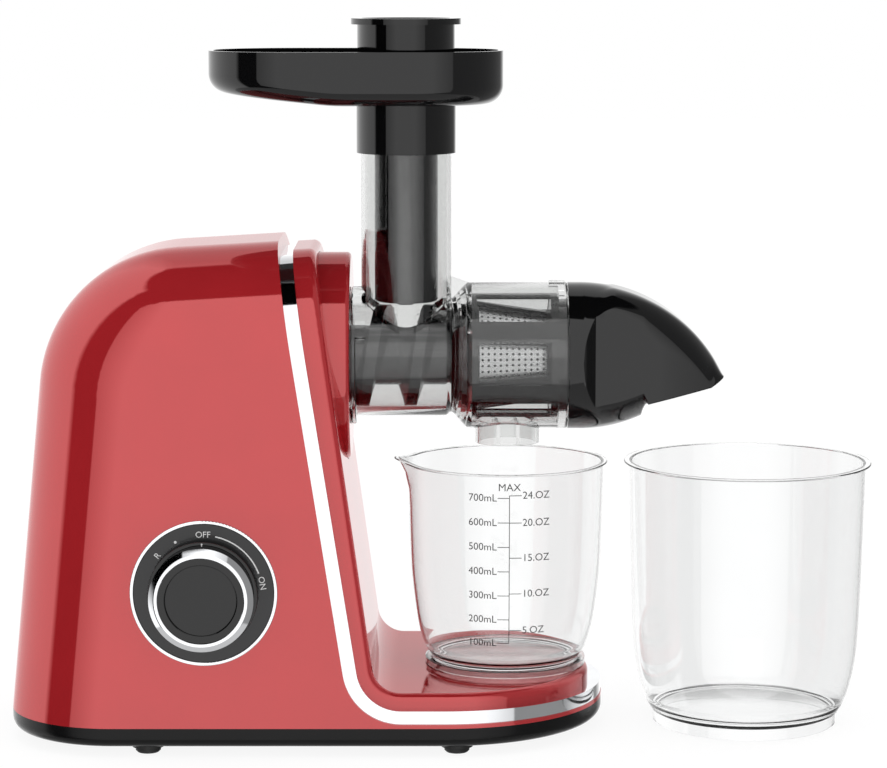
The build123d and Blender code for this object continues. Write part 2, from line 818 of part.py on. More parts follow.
with BuildPart() as gearbox_housing:
    with BuildSketch(across(case_x)):
        add(case_outline(case_wall))
        with Locations(*ear_places):
            Circle(boss_radius)
    extrude(amount=case_length)
    with BuildSketch(across(case_floor_x)):
        add(case_outline(0))
    extrude(amount=case_length, mode=Mode.SUBTRACT)
    add(ring(case_floor_x, case_floor_x + 5, journal_radius + 3.2, 0))
    add(ring(case_x, case_floor_x + 5, journal_radius + slip, 0), mode=Mode.SUBTRACT)
    add(ring(case_floor_x - 1, case_floor_x + 5, journal_radius + 2.6, 0), mode=Mode.SUBTRACT)
    add(ring(case_x, case_floor_x, idler_pin_radius, 0, idler_y, idler_z), mode=Mode.SUBTRACT)
    add(ring(case_x, case_floor_x, motor_shaft_radius + 1, 0, 0, motor_z), mode=Mode.SUBTRACT)
    leg_top = drive_z + low_ear
    add(box_between((case_x, -leg_half_width, floor_z), (case_x + case_wall, leg_half_width, leg_top)))
    add(box_between((cover_x - case_wall, -leg_half_width, floor_z), (cover_x, leg_half_width, leg_top)))
    add(box_between((case_x, -case_wall / 2, floor_z), (cover_x, case_wall / 2, leg_top)))
    add(box_between((case_x, -leg_half_width, floor_z), (cover_x, leg_half_width, floor_z + case_wall)))
    pad_z = drive_z + slow_tip + 1.5 + case_wall
    add(box_between((cover_x - switch_length, -6, pad_z - case_wall / 2), (cover_x, 6, pad_z + 1.5)))
    with BuildSketch(across(cover_x)):
        with Locations(*ear_places):
            Circle(screw_radius)
    extrude(amount=-screw_grip, mode=Mode.SUBTRACT)
gearbox_housing.part.label = "gearbox_housing"

with BuildPart() as gearbox_cover:
    with BuildSketch(across(cover_x)):
        add(case_outline(case_wall))
        with Locations(*ear_places):
            Circle(boss_radius)
        Circle(output_shaft_radius + 5, mode=Mode.SUBTRACT)
        with Locations(*ear_places):
            Circle(screw_radius + seat, mode=Mode.SUBTRACT)
    extrude(amount=cover_thickness)
    add(ring(cover_x, cover_x + 2, idler_pin_radius, 0, idler_y, idler_z), mode=Mode.SUBTRACT)
    with BuildSketch(across(collar_back_x)):
        with Locations(*ear_places):
            Circle(screw_head_radius + seat)
    extrude(amount=-screw_head_height - seat, mode=Mode.SUBTRACT)
gearbox_cover.part.label = "gearbox_cover"

head_x = collar_back_x - screw_head_height - seat
with BuildPart() as gearbox_screws:
    for y, z in ear_places:
        add(turned([
            (cover_x - screw_grip + 1, 0), (cover_x - screw_grip + 1, screw_radius - seat / 2),
            (head_x, screw_radius - seat / 2), (head_x, screw_head_radius),
            (head_x + screw_head_height, screw_head_radius), (head_x + screw_head_height, 0),
        ], y, drive_z + z))
gearbox_screws.part.label = "gearbox_screws"

with BuildPart() as lock_microswitch:
    add(box_between((cover_x - switch_length, -3.2, pad_z + 1.5), (cover_x, 3.2, pad_z + 10)))
    add(box_between((cover_x - 14, -2, pad_z + 10), (cover_x - 12, 2, pad_z + 11.5)))
lock_microswitch.part.label = "lock_microswitch"


# ---- Motor ---------------------------------------------------------------------
motor_end_x = case_x - motor_length
bearing_radius = motor_shaft_radius + 4
stack_x = case_x - motor_length / 2 - stack_length / 2
fan_x = motor_end_x - case_wall - fan_gap - fan_width
with BuildPart() as motor_can:
    add(turned([
        (case_x, bearing_radius), (case_x, motor_radius), (motor_end_x, motor_radius),
        (motor_end_x, motor_radius - can_wall), (case_x - case_wall, motor_radius - can_wall),
        (case_x - case_wall, bearing_radius),
    ], 0, motor_z))
motor_can.part.label = "motor_can"

with BuildPart() as motor_end_cap:
    add(ring(motor_end_x - case_wall, motor_end_x, motor_radius, bearing_radius, 0, motor_z))
    fillet(motor_end_cap.edges().group_by(Axis.X)[0].sort_by(SortBy.LENGTH)[-1], 1.5)
motor_end_cap.part.label = "motor_end_cap"

with BuildPart() as motor_bearings:
    for x in (motor_end_x - case_wall, case_x - case_wall):
        add(ring(x, x + case_wall, bearing_radius, motor_shaft_radius + run, 0, motor_z))
motor_bearings.part.label = "motor_bearings"

with BuildPart() as stator_magnets:
    with BuildSketch(across(stack_x, 0, motor_z)):
        for middle in (0, 180):
            add(sector(stack_radius + 0.8, motor_radius - can_wall, middle, 130))
    extrude(amount=stack_length)
stator_magnets.part.label = "stator_magnets"

with BuildPart() as rotor:
    add(ring(fan_x - 2, slow_x - gear_gap, motor_shaft_radius, 0, 0, motor_z))
    with BuildSketch(across(stack_x, 0, motor_z)):
        Circle(stack_radius)
        with PolarLocations(stack_radius - 3, 12):
            Rectangle(9, 2.2, mode=Mode.SUBTRACT)
    extrude(amount=stack_length)
    add(ring(stack_x - 14, stack_x - 6, motor_shaft_radius + 6, 0, 0, motor_z))
rotor.part.label = "rotor"

with BuildPart() as cooling_fan:
    add(ring(fan_x, fan_x + fan_width, motor_shaft_radius + 4, motor_shaft_radius, 0, motor_z))
    with BuildSketch(across(fan_x, 0, motor_z)):
        with PolarLocations((motor_shaft_radius + 3 + fan_radius) / 2, 9):
            Rectangle(fan_radius - motor_shaft_radius - 3, 1.6, rotation=12)
    extrude(amount=fan_width)
    add(ring(fan_x + fan_width - 1.5, fan_x + fan_width, fan_radius, motor_shaft_radius, 0, motor_z))
cooling_fan.part.label = "cooling_fan"

cradle_x = motor_end_x + 12
with BuildPart() as motor_cradle:
    add(box_between((cradle_x, -motor_radius + 5, floor_z), (cradle_x + 8, motor_radius - 5, motor_z - 18)))
    add(box_between((cradle_x - 8, -motor_radius + 5, floor_z), (cradle_x + 16, motor_radius - 5, floor_z + 4)))
    add(ring(cradle_x - 10, cradle_x + 20, motor_radius, 0, 0, motor_z), mode=Mode.SUBTRACT)
motor_cradle.part.label = "motor_cradle"


# ---- Control board and cord gland ----------------------------------------------
board_y = side_y - board_standoff
board_corners = [
    (board_x + side * (board_length / 2 - 5), board_z + up * (board_height / 2 - 5))
    for side in (-1, 1) for up in (-1, 1)
]
with BuildPart() as control_board:
    with BuildSketch(near_side(board_y)):
        with Locations((board_x, board_z)):
            Rectangle(board_length, board_height)
    extrude(amount=board_thickness)
control_board.part.label = "control_board"

with BuildPart() as board_spacers:
    with BuildSketch(near_side(side_y)):
        with Locations(*board_corners):
            Circle(3)
    extrude(amount=board_standoff)
board_spacers.part.label = "board_spacers"

parts_y = board_y - board_thickness
with BuildPart() as board_parts:
    with BuildSketch(near_side(parts_y)):
        with Locations((board_x - 14, board_z + 8)):
            Circle(7)
        with Locations((board_x + 12, board_z - 10)):
            Rectangle(20, 16)
    extrude(amount=16)
    with BuildSketch(near_side(parts_y)):
        with Locations((board_x + 14, board_z + 12)):
            Rectangle(14, 10)
    extrude(amount=6)
board_parts.part.label = "board_parts"

with BuildPart() as cord_gland:
    with BuildSketch(gland_lean):
        Circle(gland_radius + 2.2)
    extrude(amount=1.6)
    fillet(cord_gland.edges().group_by(Axis.X)[0], 0.8)
    with BuildSketch(gland_lean):
        Circle(gland_radius)
    extrude(amount=-(wall + 8))
    with BuildSketch(gland_lean.offset(1.6)):
        Circle(cord_radius)
    extrude(amount=-(wall + 14), mode=Mode.SUBTRACT)
cord_gland.part.label = "cord_gland"


# ---- Drum housing --------------------------------------------------------------
flange_x = collar_face_x + slip
lug_x = collar_face_x - collar_lip - slip
bore_floor_x = drum_rear_x + drum_rear_wall
gasket_radius = drum_stub_radius + 2.5
chute_base = Plane(origin=(chute_x, 0, drive_z), x_dir=(1, 0, 0), z_dir=(0, 0, 1))

with BuildPart() as drum_housing:
    add(turned([
        (drum_rear_x, 0), (drum_rear_x, barrel_radius), (flange_x, barrel_radius),
        (flange_x, flange_radius), (flange_x + flange_width, flange_radius),
        (flange_x + flange_width, barrel_radius), (neck_x, barrel_radius),
        (neck_x + 2, neck_radius), (chamber_x - 1.5, neck_radius), (chamber_x, chamber_radius - 1),
        (chamber_x + 1, chamber_radius), (chamber_end_x, chamber_radius), (chamber_end_x, 0),
    ]))
    with BuildSketch(across(lug_x)):
        for middle in lug_middles:
            add(sector(barrel_radius - 1, socket_radius - slip, middle, lug_angle))
    extrude(amount=-lug_width)
    with BuildSketch(across(flange_x)):
        add(sector(barrel_radius - 1, flange_radius, 90, grip_angle))
    extrude(amount=grip_width)
    with BuildSketch(across(cap_lug_x)):
        for middle in lug_middles:
            add(sector(chamber_radius - 1, cap_lug_radius, middle, lug_angle))
    extrude(amount=cap_lug_width)
    with BuildSketch(chute_base):
        Ellipse(chute_half_x, chute_half_y)
    extrude(amount=chute_top_z - drive_z)
    add(box_between((gutter_x, -gutter_half_width, gutter_z), (gutter_end_x, gutter_half_width, drive_z - 18)))
    with BuildSketch(Plane.XY.offset(spout_end_z)):
        with Locations((spout_x, 0)):
            Circle(spout_radius)
    extrude(amount=gutter_z + 1 - spout_end_z)
    with BuildSketch(near_side(gusset_width / 2)):
        with BuildLine():
            Polyline(
                (chute_x + chute_half_x - 1, drive_z + barrel_radius + 14), (chamber_x + 2, drive_z + chamber_radius + 6),
                (chamber_x + 2, drive_z + neck_radius - 1), (chute_x + chute_half_x - 1, drive_z + neck_radius - 1),
                close=True,
            )
        make_face()
    extrude(amount=gusset_width)
    add(box_between((catch_x, -catch_width / 2, drive_z + chamber_radius - 1),
                    (catch_x + catch_length, catch_width / 2, drive_z + flange_radius + 3.5)))
    add(turned([
        (bore_floor_x, 0), (bore_floor_x, barrel_bore), (strainer_x - slip, barrel_bore),
        (strainer_x - slip, chamber_bore), (chamber_end_x, chamber_bore), (chamber_end_x, 0),
    ]), mode=Mode.SUBTRACT)
    add(ring(drum_rear_x, bore_floor_x, gasket_radius, 0), mode=Mode.SUBTRACT)
    with BuildSketch(chute_base):
        Ellipse(chute_half_x - chute_wall, chute_half_y - chute_wall)
    extrude(amount=chute_top_z - drive_z, mode=Mode.SUBTRACT)
    add(
        box_between(
            (gutter_x + drum_wall, drum_wall - gutter_half_width, gutter_z + drum_wall),
            (gutter_end_x - drum_wall, gutter_half_width - drum_wall, drive_z - 18),
        ),
        mode=Mode.SUBTRACT,
    )
    with BuildSketch(Plane.XY.offset(spout_end_z)):
        with Locations((spout_x, 0)):
            Circle(spout_radius - drum_wall)
    extrude(amount=gutter_z + drum_wall - spout_end_z, mode=Mode.SUBTRACT)
    with BuildSketch(Plane.XY.offset(spout_end_z + 1)):
        with Locations((spout_x, 0)):
            Circle(spout_radius - drum_wall / 2)
        with Locations(*[(x, 0) for x in spout_rib_xs]):
            Rectangle(1.6, 2 * spout_radius, mode=Mode.INTERSECT)
    extrude(amount=gutter_z - spout_end_z)
drum_housing.part.label = "drum_housing"

with BuildPart() as drum_gasket:
    add(ring(drum_rear_x, bore_floor_x, gasket_radius - seat, drum_stub_radius + slip))
drum_gasket.part.label = "drum_gasket"


# ---- Auger ---------------------------------------------------------------------
sunk = 3.0            # the flight starts this far inside the core
flight_depth = auger_radius - auger_core_radius + sunk + 2
flight_room = turned([
    (auger_rear_x + 3, 0), (auger_rear_x + 3, auger_radius), (auger_cone_x, auger_radius),
    (auger_end_x, auger_end_radius), (auger_end_x, 0),
])
with BuildPart() as flight_turn:
    with BuildLine() as spiral:
        Helix(
            pitch=auger_pitch, height=auger_pitch, radius=auger_core_radius - sunk,
            center=(flight_x, 0, drive_z), direction=(1, 0, 0), lefthand=True,
        )
    start, ahead = spiral.line @ 0, spiral.line % 0
    outward = Vector(0, start.Y, start.Z - drive_z).normalized()
    with BuildSketch(Plane(origin=start, x_dir=outward.cross(ahead), z_dir=ahead)):
        with BuildLine():
            Polyline(
                (-flight_root / 2, 0), (flight_root / 2, 0),
                (flight_tip / 2, flight_depth), (-flight_tip / 2, flight_depth), close=True,
            )
        make_face()
    sweep(path=spiral.line, is_frenet=True)

first_turn = floor((auger_rear_x - flight_x) / auger_pitch)
last_turn = ceil((auger_end_x - flight_x) / auger_pitch)
turns = []
for turn in range(first_turn, last_turn):
    with BuildPart() as one_turn:
        add(flight_turn.part.moved(Location((turn * auger_pitch, 0, 0))))
        add(flight_room, mode=Mode.INTERSECT)
    turns.append(one_turn.part)

with BuildPart() as auger:
    add(turned([
        (drum_rear_x, 0), (drum_rear_x, drum_stub_radius), (auger_rear_x - 1, drum_stub_radius),
        (auger_rear_x - 1, auger_core_radius), (auger_cone_x, auger_core_radius),
        (auger_end_x, auger_nose_radius), (auger_end_x + 2, auger_nose_radius - 3),
        (auger_end_x + 2, nose_pin_radius), (strainer_end_x + 1, nose_pin_radius), (strainer_end_x + 1, 0),
    ]))
    for one in turns:
        add(one)
    with BuildSketch(across(drum_rear_x)):
        RegularPolygon(hex_width / 2 + seat, 6, major_radius=False)
    extrude(amount=hex_length, mode=Mode.SUBTRACT)
auger.part.label = "auger"


# ---- Strainer ------------------------------------------------------------------
cage_fall = (strainer_radius - strainer_end_radius) / (strainer_cone_end_x - strainer_cone_x)
ring_radius = chamber_bore - slip
window_middles = [180 - window_phase + turn * 360 / window_count for turn in range(window_count)]


def cone_line(inside):
    """The cage's cone as two (x, radius) points, inside its outer face."""
    return [(strainer_cone_x, strainer_radius - inside), (strainer_cone_end_x, strainer_end_radius - inside)]


cage_in, cage_end_in = [radius for x, radius in cone_line(strainer_wall)]
with BuildPart() as strainer_cage:
    add(turned(
        [(strainer_x, cage_in), (strainer_x, ring_radius), (strainer_cone_x, ring_radius)]
        + cone_line(0)
        + [(strainer_cone_end_x, ring_radius), (strainer_end_x, ring_radius), (strainer_end_x, cage_end_in),
           (strainer_cone_end_x, cage_end_in), (strainer_cone_x, cage_in)]
    ))
    with BuildSketch(across(window_x)):
        for middle in window_middles:
            add(sector(cage_end_in - 2, strainer_radius, middle, window_angle))
    extrude(amount=window_end_x - window_x, mode=Mode.SUBTRACT)
    with BuildSketch(across(strainer_end_x)):
        Circle(hub_radius)
        with PolarLocations((hub_radius + cage_end_in) / 2, 3, start_angle=30):
            Rectangle(cage_end_in - hub_radius + 2, 3)
        Circle(nose_pin_radius + run, mode=Mode.SUBTRACT)
    extrude(amount=-hub_length)
strainer_cage.part.label = "strainer_cage"

mesh_out = cone_line(strainer_wall + seat)
mesh_in = cone_line(strainer_wall + seat + mesh_thickness)
with BuildPart() as strainer_mesh:
    add(turned(mesh_out + mesh_in[::-1]))
strainer_mesh.part.label = "strainer_mesh"


# ---- Cap -----------------------------------------------------------------------
crest_z = drive_z + cap_collar_radius - sqrt(cap_crest_radius**2 - (cap_collar_end_x - cap_crest_x) ** 2)
tip_x = cap_crest_x + sqrt(cap_crest_radius**2 - (cap_tip_z - crest_z) ** 2)
hood_xs = [cap_collar_end_x] + [cap_lip_x + step * (tip_x - cap_lip_x) / 4 for step in range(4)] + [tip_x - 0.4]


def hood(inside):
    """The beak's arched hood, still open below, inside its outer faces."""
    with BuildPart() as form:
        for x in hood_xs:
            along = max(0.0, (x - cap_lip_x) / (tip_x - cap_lip_x))
            half = cap_half_width - (cap_half_width - cap_tip_half_width) * along**1.5 - inside
            arch = min(cap_ridge_radius - (cap_ridge_radius - cap_tip_ridge_radius) * along - inside, half - 0.5)
            top = sqrt(cap_crest_radius**2 - (x - cap_crest_x) ** 2) + crest_z - drive_z - inside
            foot = cap_lip_z - drive_z - 12
            with BuildSketch(across(x - inside * along)):
                with BuildLine():
                    FilletPolyline((-half, foot), (-half, top), (half, top), (half, foot), radius=arch)
                    Line((half, foot), (-half, foot))
                make_face()
        loft()
        with BuildSketch(near_side(2 * cap_half_width)):
            with BuildLine():
                under = inside * 1.05
                Polyline(
                    (cap_x, cap_lip_z + under), (cap_underside_x, cap_lip_z + under),
                    (tip_x - 3, cap_tip_z - 2.8 + under), (tip_x + 9, cap_tip_z + 8 + under),
                    (tip_x + 9, high), (cap_x, high), close=True,
                )
            make_face()
        extrude(amount=4 * cap_half_width, mode=Mode.INTERSECT)
    return form.part


def chin(inside):
    """Lower body of the cap, between the collar and its lip, inside its outer faces."""
    bottom = drive_z - cap_collar_radius + inside
    lip_x = cap_lip_x - inside
    with BuildPart() as form:
        with BuildSketch(near_side(cap_half_width - inside)):
            with BuildLine():
                floor_line = ThreePointArc(
                    (cap_collar_end_x - 4, bottom), ((cap_collar_end_x + lip_x) / 2, bottom + 1.4),
                    (lip_x, bottom + 5.4),
                )
                Polyline(
                    floor_line @ 1, (cap_underside_x - inside, cap_lip_z + inside),
                    (cap_underside_x - inside, drive_z), (cap_collar_end_x - 4, drive_z), floor_line @ 0,
                )
            make_face()
        extrude(amount=2 * (cap_half_width - inside))
        low_edges = form.edges().filter_by(
            lambda edge: abs(edge.center().Y) > cap_half_width - inside - 1 and edge.center().Z < bottom + 4
        )
        fillet(low_edges, cap_chin_radius - inside)
    return form.part


cap_step_x = chamber_end_x + slip
cap_gasket_x = cap_step_x + cap_gasket_depth
cap_gasket_radius = chamber_radius - 0.5
with BuildPart() as cap_outer:
    add(hood(0))
    add(chin(0))
    add(turned([
        (cap_x, 0), (cap_x, cap_collar_radius), (cap_collar_end_x - 4, cap_collar_radius),
        (cap_collar_end_x, cap_half_width), (cap_collar_end_x, 0),
    ]))

with BuildPart() as cap_room:
    add(hood(cap_wall))
    add(chin(cap_wall))
    add(ring(cap_step_x, cap_collar_end_x + 0.5, cap_half_width - cap_wall, 0))

with BuildPart() as end_cap:
    add(cap_outer.part)
    add(cap_room.part, mode=Mode.SUBTRACT)
    add(ring(cap_x, cap_step_x, chamber_radius + slip, 0), mode=Mode.SUBTRACT)
    add(ring(cap_lug_x - slip, cap_step_x - 1, cap_lug_radius + slip, 0), mode=Mode.SUBTRACT)
    add(ring(cap_step_x - 1, cap_gasket_x, cap_gasket_radius + seat, 0), mode=Mode.SUBTRACT)
    with BuildSketch(across(cap_x)):
        for middle in lug_middles:
            add(sector(chamber_radius - 1, cap_lug_radius + 2 * slip, middle - cap_turn_angle, lug_angle + 3))
    extrude(amount=cap_lug_x + slip - cap_x, mode=Mode.SUBTRACT)
    with BuildSketch(Plane.XY.offset(cap_lip_z - 4)):
        with Locations(((cap_underside_x + tip_x) / 2 - 5, 0)):
            RectangleRounded(tip_x - cap_underside_x - 18, 2 * cap_tip_half_width - 6, 5)
    extrude(amount=18, mode=Mode.SUBTRACT)
end_cap.part.label = "end_cap"

with BuildPart() as cap_gasket:
    add(ring(chamber_end_x + seat, cap_gasket_x, cap_gasket_radius, chamber_bore))
cap_gasket.part.label = "cap_gasket"


# ---- Tray ----------------------------------------------------------------------
def oval(extra):
    """Oval of the chute, extra outside its outer face."""
    with BuildSketch() as outline:
        with Locations((chute_x, 0)):
            Ellipse(chute_half_x + extra, chute_half_y + extra)
    return outline.sketch


def dish(inside):
    """Body of the tray's dish, inside its outer faces."""
    low = tray_bottom_z + inside
    with BuildPart() as form:
        with BuildSketch(near_side(tray_half_y)):
            with BuildLine():
                left, right = tray_x - tray_half_x, tray_x + tray_half_x
                FilletPolyline(
                    (left, low + tray_rise), (chute_x - chute_half_x - 14, low), (right, low), radius=tray_bend,
                )
                Polyline((right, low), (right, tray_rim_z + inside), (left, tray_rim_z + inside), (left, low + tray_rise))
            make_face()
        extrude(amount=2 * tray_half_y)
        with BuildSketch(Plane.XY.offset(tray_bottom_z)):
            with Locations((tray_x, 0)):
                RectangleRounded(2 * (tray_half_x - inside), 2 * (tray_half_y - inside),
                                 tray_corner_radius - inside)
        extrude(amount=high, mode=Mode.INTERSECT)
        under = form.faces().filter_by(lambda face: face.normal_at().Z < -0.9)
        low_edges = ShapeList([edge for face in under for edge in face.edges()])
        low_edges = low_edges.filter_by(lambda edge: edge.bounding_box().size.X > 0.1)
        fillet(low_edges, tray_edge_radius - inside)
    return form.part


lip_z = pusher_shoulder_z - slip
with BuildPart() as feed_tray:
    add(dish(0))
    add(dish(tray_wall), mode=Mode.SUBTRACT)
    with BuildSketch(Plane.XY.offset(sleeve_z)):
        add(oval(slip + sleeve_wall))
    extrude(amount=lip_z - sleeve_z)
    with BuildSketch(Plane.XY.offset(sleeve_z)):
        add(oval(slip))
    extrude(amount=chute_top_z + slip - sleeve_z, mode=Mode.SUBTRACT)
    with BuildSketch(Plane.XY.offset(sleeve_z)):
        add(oval(-chute_wall))
    extrude(amount=high, mode=Mode.SUBTRACT)
feed_tray.part.label = "feed_tray"


# ---- Pusher --------------------------------------------------------------------
def pusher_form(half_x, low_z, top_z):
    """Upright oval block of the pusher."""
    with BuildPart() as block:
        with BuildSketch(Plane.XY.offset(low_z)):
            with Locations((chute_x, 0)):
                Ellipse(half_x, half_x + pusher_rod_y - pusher_rod_x)
        extrude(amount=top_z - low_z)
    return block.part


with BuildPart() as pusher:
    add(pusher_form(pusher_rod_x, pusher_end_z, pusher_shoulder_z))
    add(pusher_form(pusher_head_x, pusher_shoulder_z, pusher_top_z))
    add(pusher_form(pusher_flange_x, pusher_top_z - pusher_flange, pusher_top_z))
    fillet(pusher.edges().group_by(Axis.Z)[0], 1.5)
    add(pusher_form(pusher_rod_x - pusher_wall, pusher_end_z + 3, pusher_top_z), mode=Mode.SUBTRACT)
    add(pusher_form(pusher_head_x - pusher_wall, pusher_shoulder_z + pusher_wall, pusher_top_z),
        mode=Mode.SUBTRACT)
pusher.part.label = "pusher"


# ---- Cups ----------------------------------------------------------------------
def cup_body(wall_points, base, foot_z, x):
    """Turned cup: wall_points run up its outer face, base is its standing ring."""
    ring_radius, ring_height, floor_radius = base
    with BuildPart() as body:
        with BuildSketch(Plane(origin=(x, 0, 0), x_dir=(1, 0, 0), z_dir=(0, -1, 0))):
            with BuildLine():
                outer = Spline(*wall_points)
                Polyline(
                    outer @ 0, (ring_radius, foot_z + ring_height), (ring_radius, foot_z),
                    (ring_radius - cup_wall - 0.6, foot_z), (ring_radius - cup_wall - 0.6, foot_z + ring_height - 1),
                    (0, foot_z + ring_height - 1), (0, (outer @ 1).Y), outer @ 1,
                )
            make_face()
        revolve(axis=Axis((x, 0, 0), (0, 0, 1)))
    return body.part


def cup_room(wall_points, base, foot_z, x):
    """Inside of a turned cup."""
    ring_radius, ring_height, floor_radius = base
    inner_points = [(radius - cup_wall, z) for radius, z in wall_points[1:]]
    with BuildPart() as room:
        with BuildSketch(Plane(origin=(x, 0, 0), x_dir=(1, 0, 0), z_dir=(0, -1, 0))):
            with BuildLine():
                floor_z = foot_z + ring_height - 1 + cup_wall
                outer = Spline((floor_radius, floor_z), *inner_points)
                Polyline(outer @ 0, (0, floor_z), (0, (outer @ 1).Y), outer @ 1)
            make_face()
        revolve(axis=Axis((x, 0, 0), (0, 0, 1)))
    return room.part


def spout_lip(inside):
    """Flared cone that makes the pouring lip of the juice cup."""
    reach = juice_cup_x - juice_cup_lip_x
    with BuildPart() as lip:
        with BuildSketch(Plane.XY.offset(juice_cup_top_z - lip_height)):
            with Locations((juice_cup_x - juice_cup_rim_radius + lip_radius + 4, 0)):
                Circle(1.5)
        with BuildSketch(Plane.XY.offset(juice_cup_top_z)):
            with Locations((juice_cup_x - reach + lip_radius, 0)):
                Circle(lip_radius - inside)
        loft()
    return lip.part


with BuildPart() as juice_cup:
    add(cup_body(juice_wall, juice_base, platform_z, juice_cup_x))
    add(spout_lip(0))
    add(cup_room(juice_wall, juice_base, platform_z, juice_cup_x), mode=Mode.SUBTRACT)
    add(spout_lip(cup_wall), mode=Mode.SUBTRACT)
juice_cup.part.label = "juice_cup"

with BuildPart() as pulp_cup:
    add(cup_body(pulp_wall, pulp_base, 0, pulp_cup_x))
    add(cup_room(pulp_wall, pulp_base, 0, pulp_cup_x), mode=Mode.SUBTRACT)
pulp_cup.part.label = "pulp_cup"


# ---- Write the pieces ----------------------------------------------------------
# The knob reaches out further than the far side, so the middle of the footprint
# lies off the mid-plane.
front_x = pulp_cup_x + pulp_cup_rim_radius
datum = Location((-(rear_x + front_x) / 2, knob_reach / 2, 0))
pieces = [
    base_pan, rubber_feet, base_screws, rear_shell, trim_band, front_shell, drive_collar, shaft_seal,
    dial_ring, dial_plate, rotary_switch, knob_ring, knob_face, knob_body, knob_shaft,
    motor_can, motor_end_cap, motor_bearings, stator_magnets, motor_cradle, rotor, cooling_fan,
    motor_pinion, idler_gear, idler_pinion, idler_pin, output_gear, output_shaft, output_bearings,
    gearbox_housing, gearbox_cover, gearbox_screws, lock_microswitch,
    control_board, board_spacers, board_parts, cord_gland,
    drum_housing, drum_gasket, auger, strainer_cage, strainer_mesh, end_cap, cap_gasket,
    feed_tray, pusher, juice_cup, pulp_cup,
]
os.makedirs("parts", exist_ok=True)
for piece in pieces:
    placed = piece.part.moved(datum)
    export_step(placed, f"parts/{placed.label}.step")
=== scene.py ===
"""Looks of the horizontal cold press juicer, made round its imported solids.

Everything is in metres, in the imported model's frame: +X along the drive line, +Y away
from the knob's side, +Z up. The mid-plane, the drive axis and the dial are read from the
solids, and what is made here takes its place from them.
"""
import math

import bmesh
import bpy
from mathutils import Matrix, Vector


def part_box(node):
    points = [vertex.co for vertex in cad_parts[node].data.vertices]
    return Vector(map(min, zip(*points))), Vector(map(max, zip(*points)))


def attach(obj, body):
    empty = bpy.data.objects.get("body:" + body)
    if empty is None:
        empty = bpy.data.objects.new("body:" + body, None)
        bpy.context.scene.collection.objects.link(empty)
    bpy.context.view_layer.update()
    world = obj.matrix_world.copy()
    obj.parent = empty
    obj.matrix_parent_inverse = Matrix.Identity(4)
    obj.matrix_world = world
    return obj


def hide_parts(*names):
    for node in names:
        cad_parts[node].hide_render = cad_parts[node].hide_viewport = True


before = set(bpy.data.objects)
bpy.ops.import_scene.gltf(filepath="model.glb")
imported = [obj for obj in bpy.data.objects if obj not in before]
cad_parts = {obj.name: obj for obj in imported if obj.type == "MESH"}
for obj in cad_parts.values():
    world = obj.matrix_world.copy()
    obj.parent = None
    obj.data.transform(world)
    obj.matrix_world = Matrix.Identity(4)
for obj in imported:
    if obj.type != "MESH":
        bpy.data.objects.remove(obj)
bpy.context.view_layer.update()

MM = 0.001


def middle(node):
    """Centre of a CAD node's box."""
    low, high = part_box(node)
    return (low + high) / 2


MID_Y = middle("base_pan").y
DRIVE = middle("drum_gasket")
DIAL = middle("dial_plate")
DIAL_FACE_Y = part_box("dial_plate")[0].y
COLLAR_FACE_X = -49.5  # millimetres from the machine's own origin
ORIGIN = Vector((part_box("drive_collar")[1].x - COLLAR_FACE_X * MM, MID_Y, 0))


# ---- Camera ----------------------------------------------------------------------
VIEW_PITCH = 0.135  # radians, looking down
VIEW_DISTANCE = 1.62
VIEW_TARGET_Z = 0.185
FOCAL_PIXELS = 3000.0
FRAME_PIXELS = 887.0
SENSOR_WIDTH = 36.0


def make_camera():
    data = bpy.data.cameras.new("camera")
    data.sensor_fit = "HORIZONTAL"
    data.sensor_width = SENSOR_WIDTH
    data.lens = FOCAL_PIXELS / FRAME_PIXELS * SENSOR_WIDTH
    data.clip_end = 20.0
    camera = bpy.data.objects.new("camera", data)
    bpy.context.scene.collection.objects.link(camera)
    back = Vector((0, -math.cos(VIEW_PITCH), math.sin(VIEW_PITCH)))
    camera.location = Vector((0, MID_Y, VIEW_TARGET_Z)) + back * VIEW_DISTANCE
    camera.rotation_euler = (math.pi / 2 - VIEW_PITCH, 0, 0)
    bpy.context.scene.camera = camera


make_camera()


# ---- Materials -------------------------------------------------------------------
def put(tree, socket, value):
    """Sets a socket to a value, or links it where the value is another node's output."""
    if isinstance(value, bpy.types.NodeSocket):
        tree.links.new(value, socket)
    else:
        socket.default_value = value


def new_node(tree, kind, inputs, output=0, **settings):
    """Adds a node, fills its inputs, which are named or numbered, and gives one output."""
    node = tree.nodes.new("ShaderNode" + kind)
    for name, setting in settings.items():
        setattr(node, name, setting)
    for key, value in inputs.items():
        put(tree, node.inputs[key], value)
    return node.outputs[output]


def shader_inputs(material):
    return material.node_tree.nodes["Principled BSDF"].inputs


def new_material(name):
    """Material with its node tree, its shader's inputs and the object's coordinates."""
    material = bpy.data.materials.new(name)
    material.use_nodes = True
    tree = material.node_tree
    return material, tree, shader_inputs(material), new_node(tree, "TexCoord", {}, "Object")


def noise(tree, place, scale, detail=3.0, stretch=None):
    """Noise value at a scale in cycles per metre, stretched along the axes if asked."""
    if stretch:
        place = new_node(tree, "Mapping", {"Scale": stretch, "Vector": place})
    return new_node(tree, "TexNoise", {"Scale": scale, "Detail": detail, "Vector": place})


def spread(tree, value, low, high):
    """Maps noise, which stays mostly between 0.3 and 0.7, to a range."""
    ends = {"From Min": 0.3, "From Max": 0.7, "To Min": low, "To Max": high}
    return new_node(tree, "MapRange", {"Value": value, **ends})


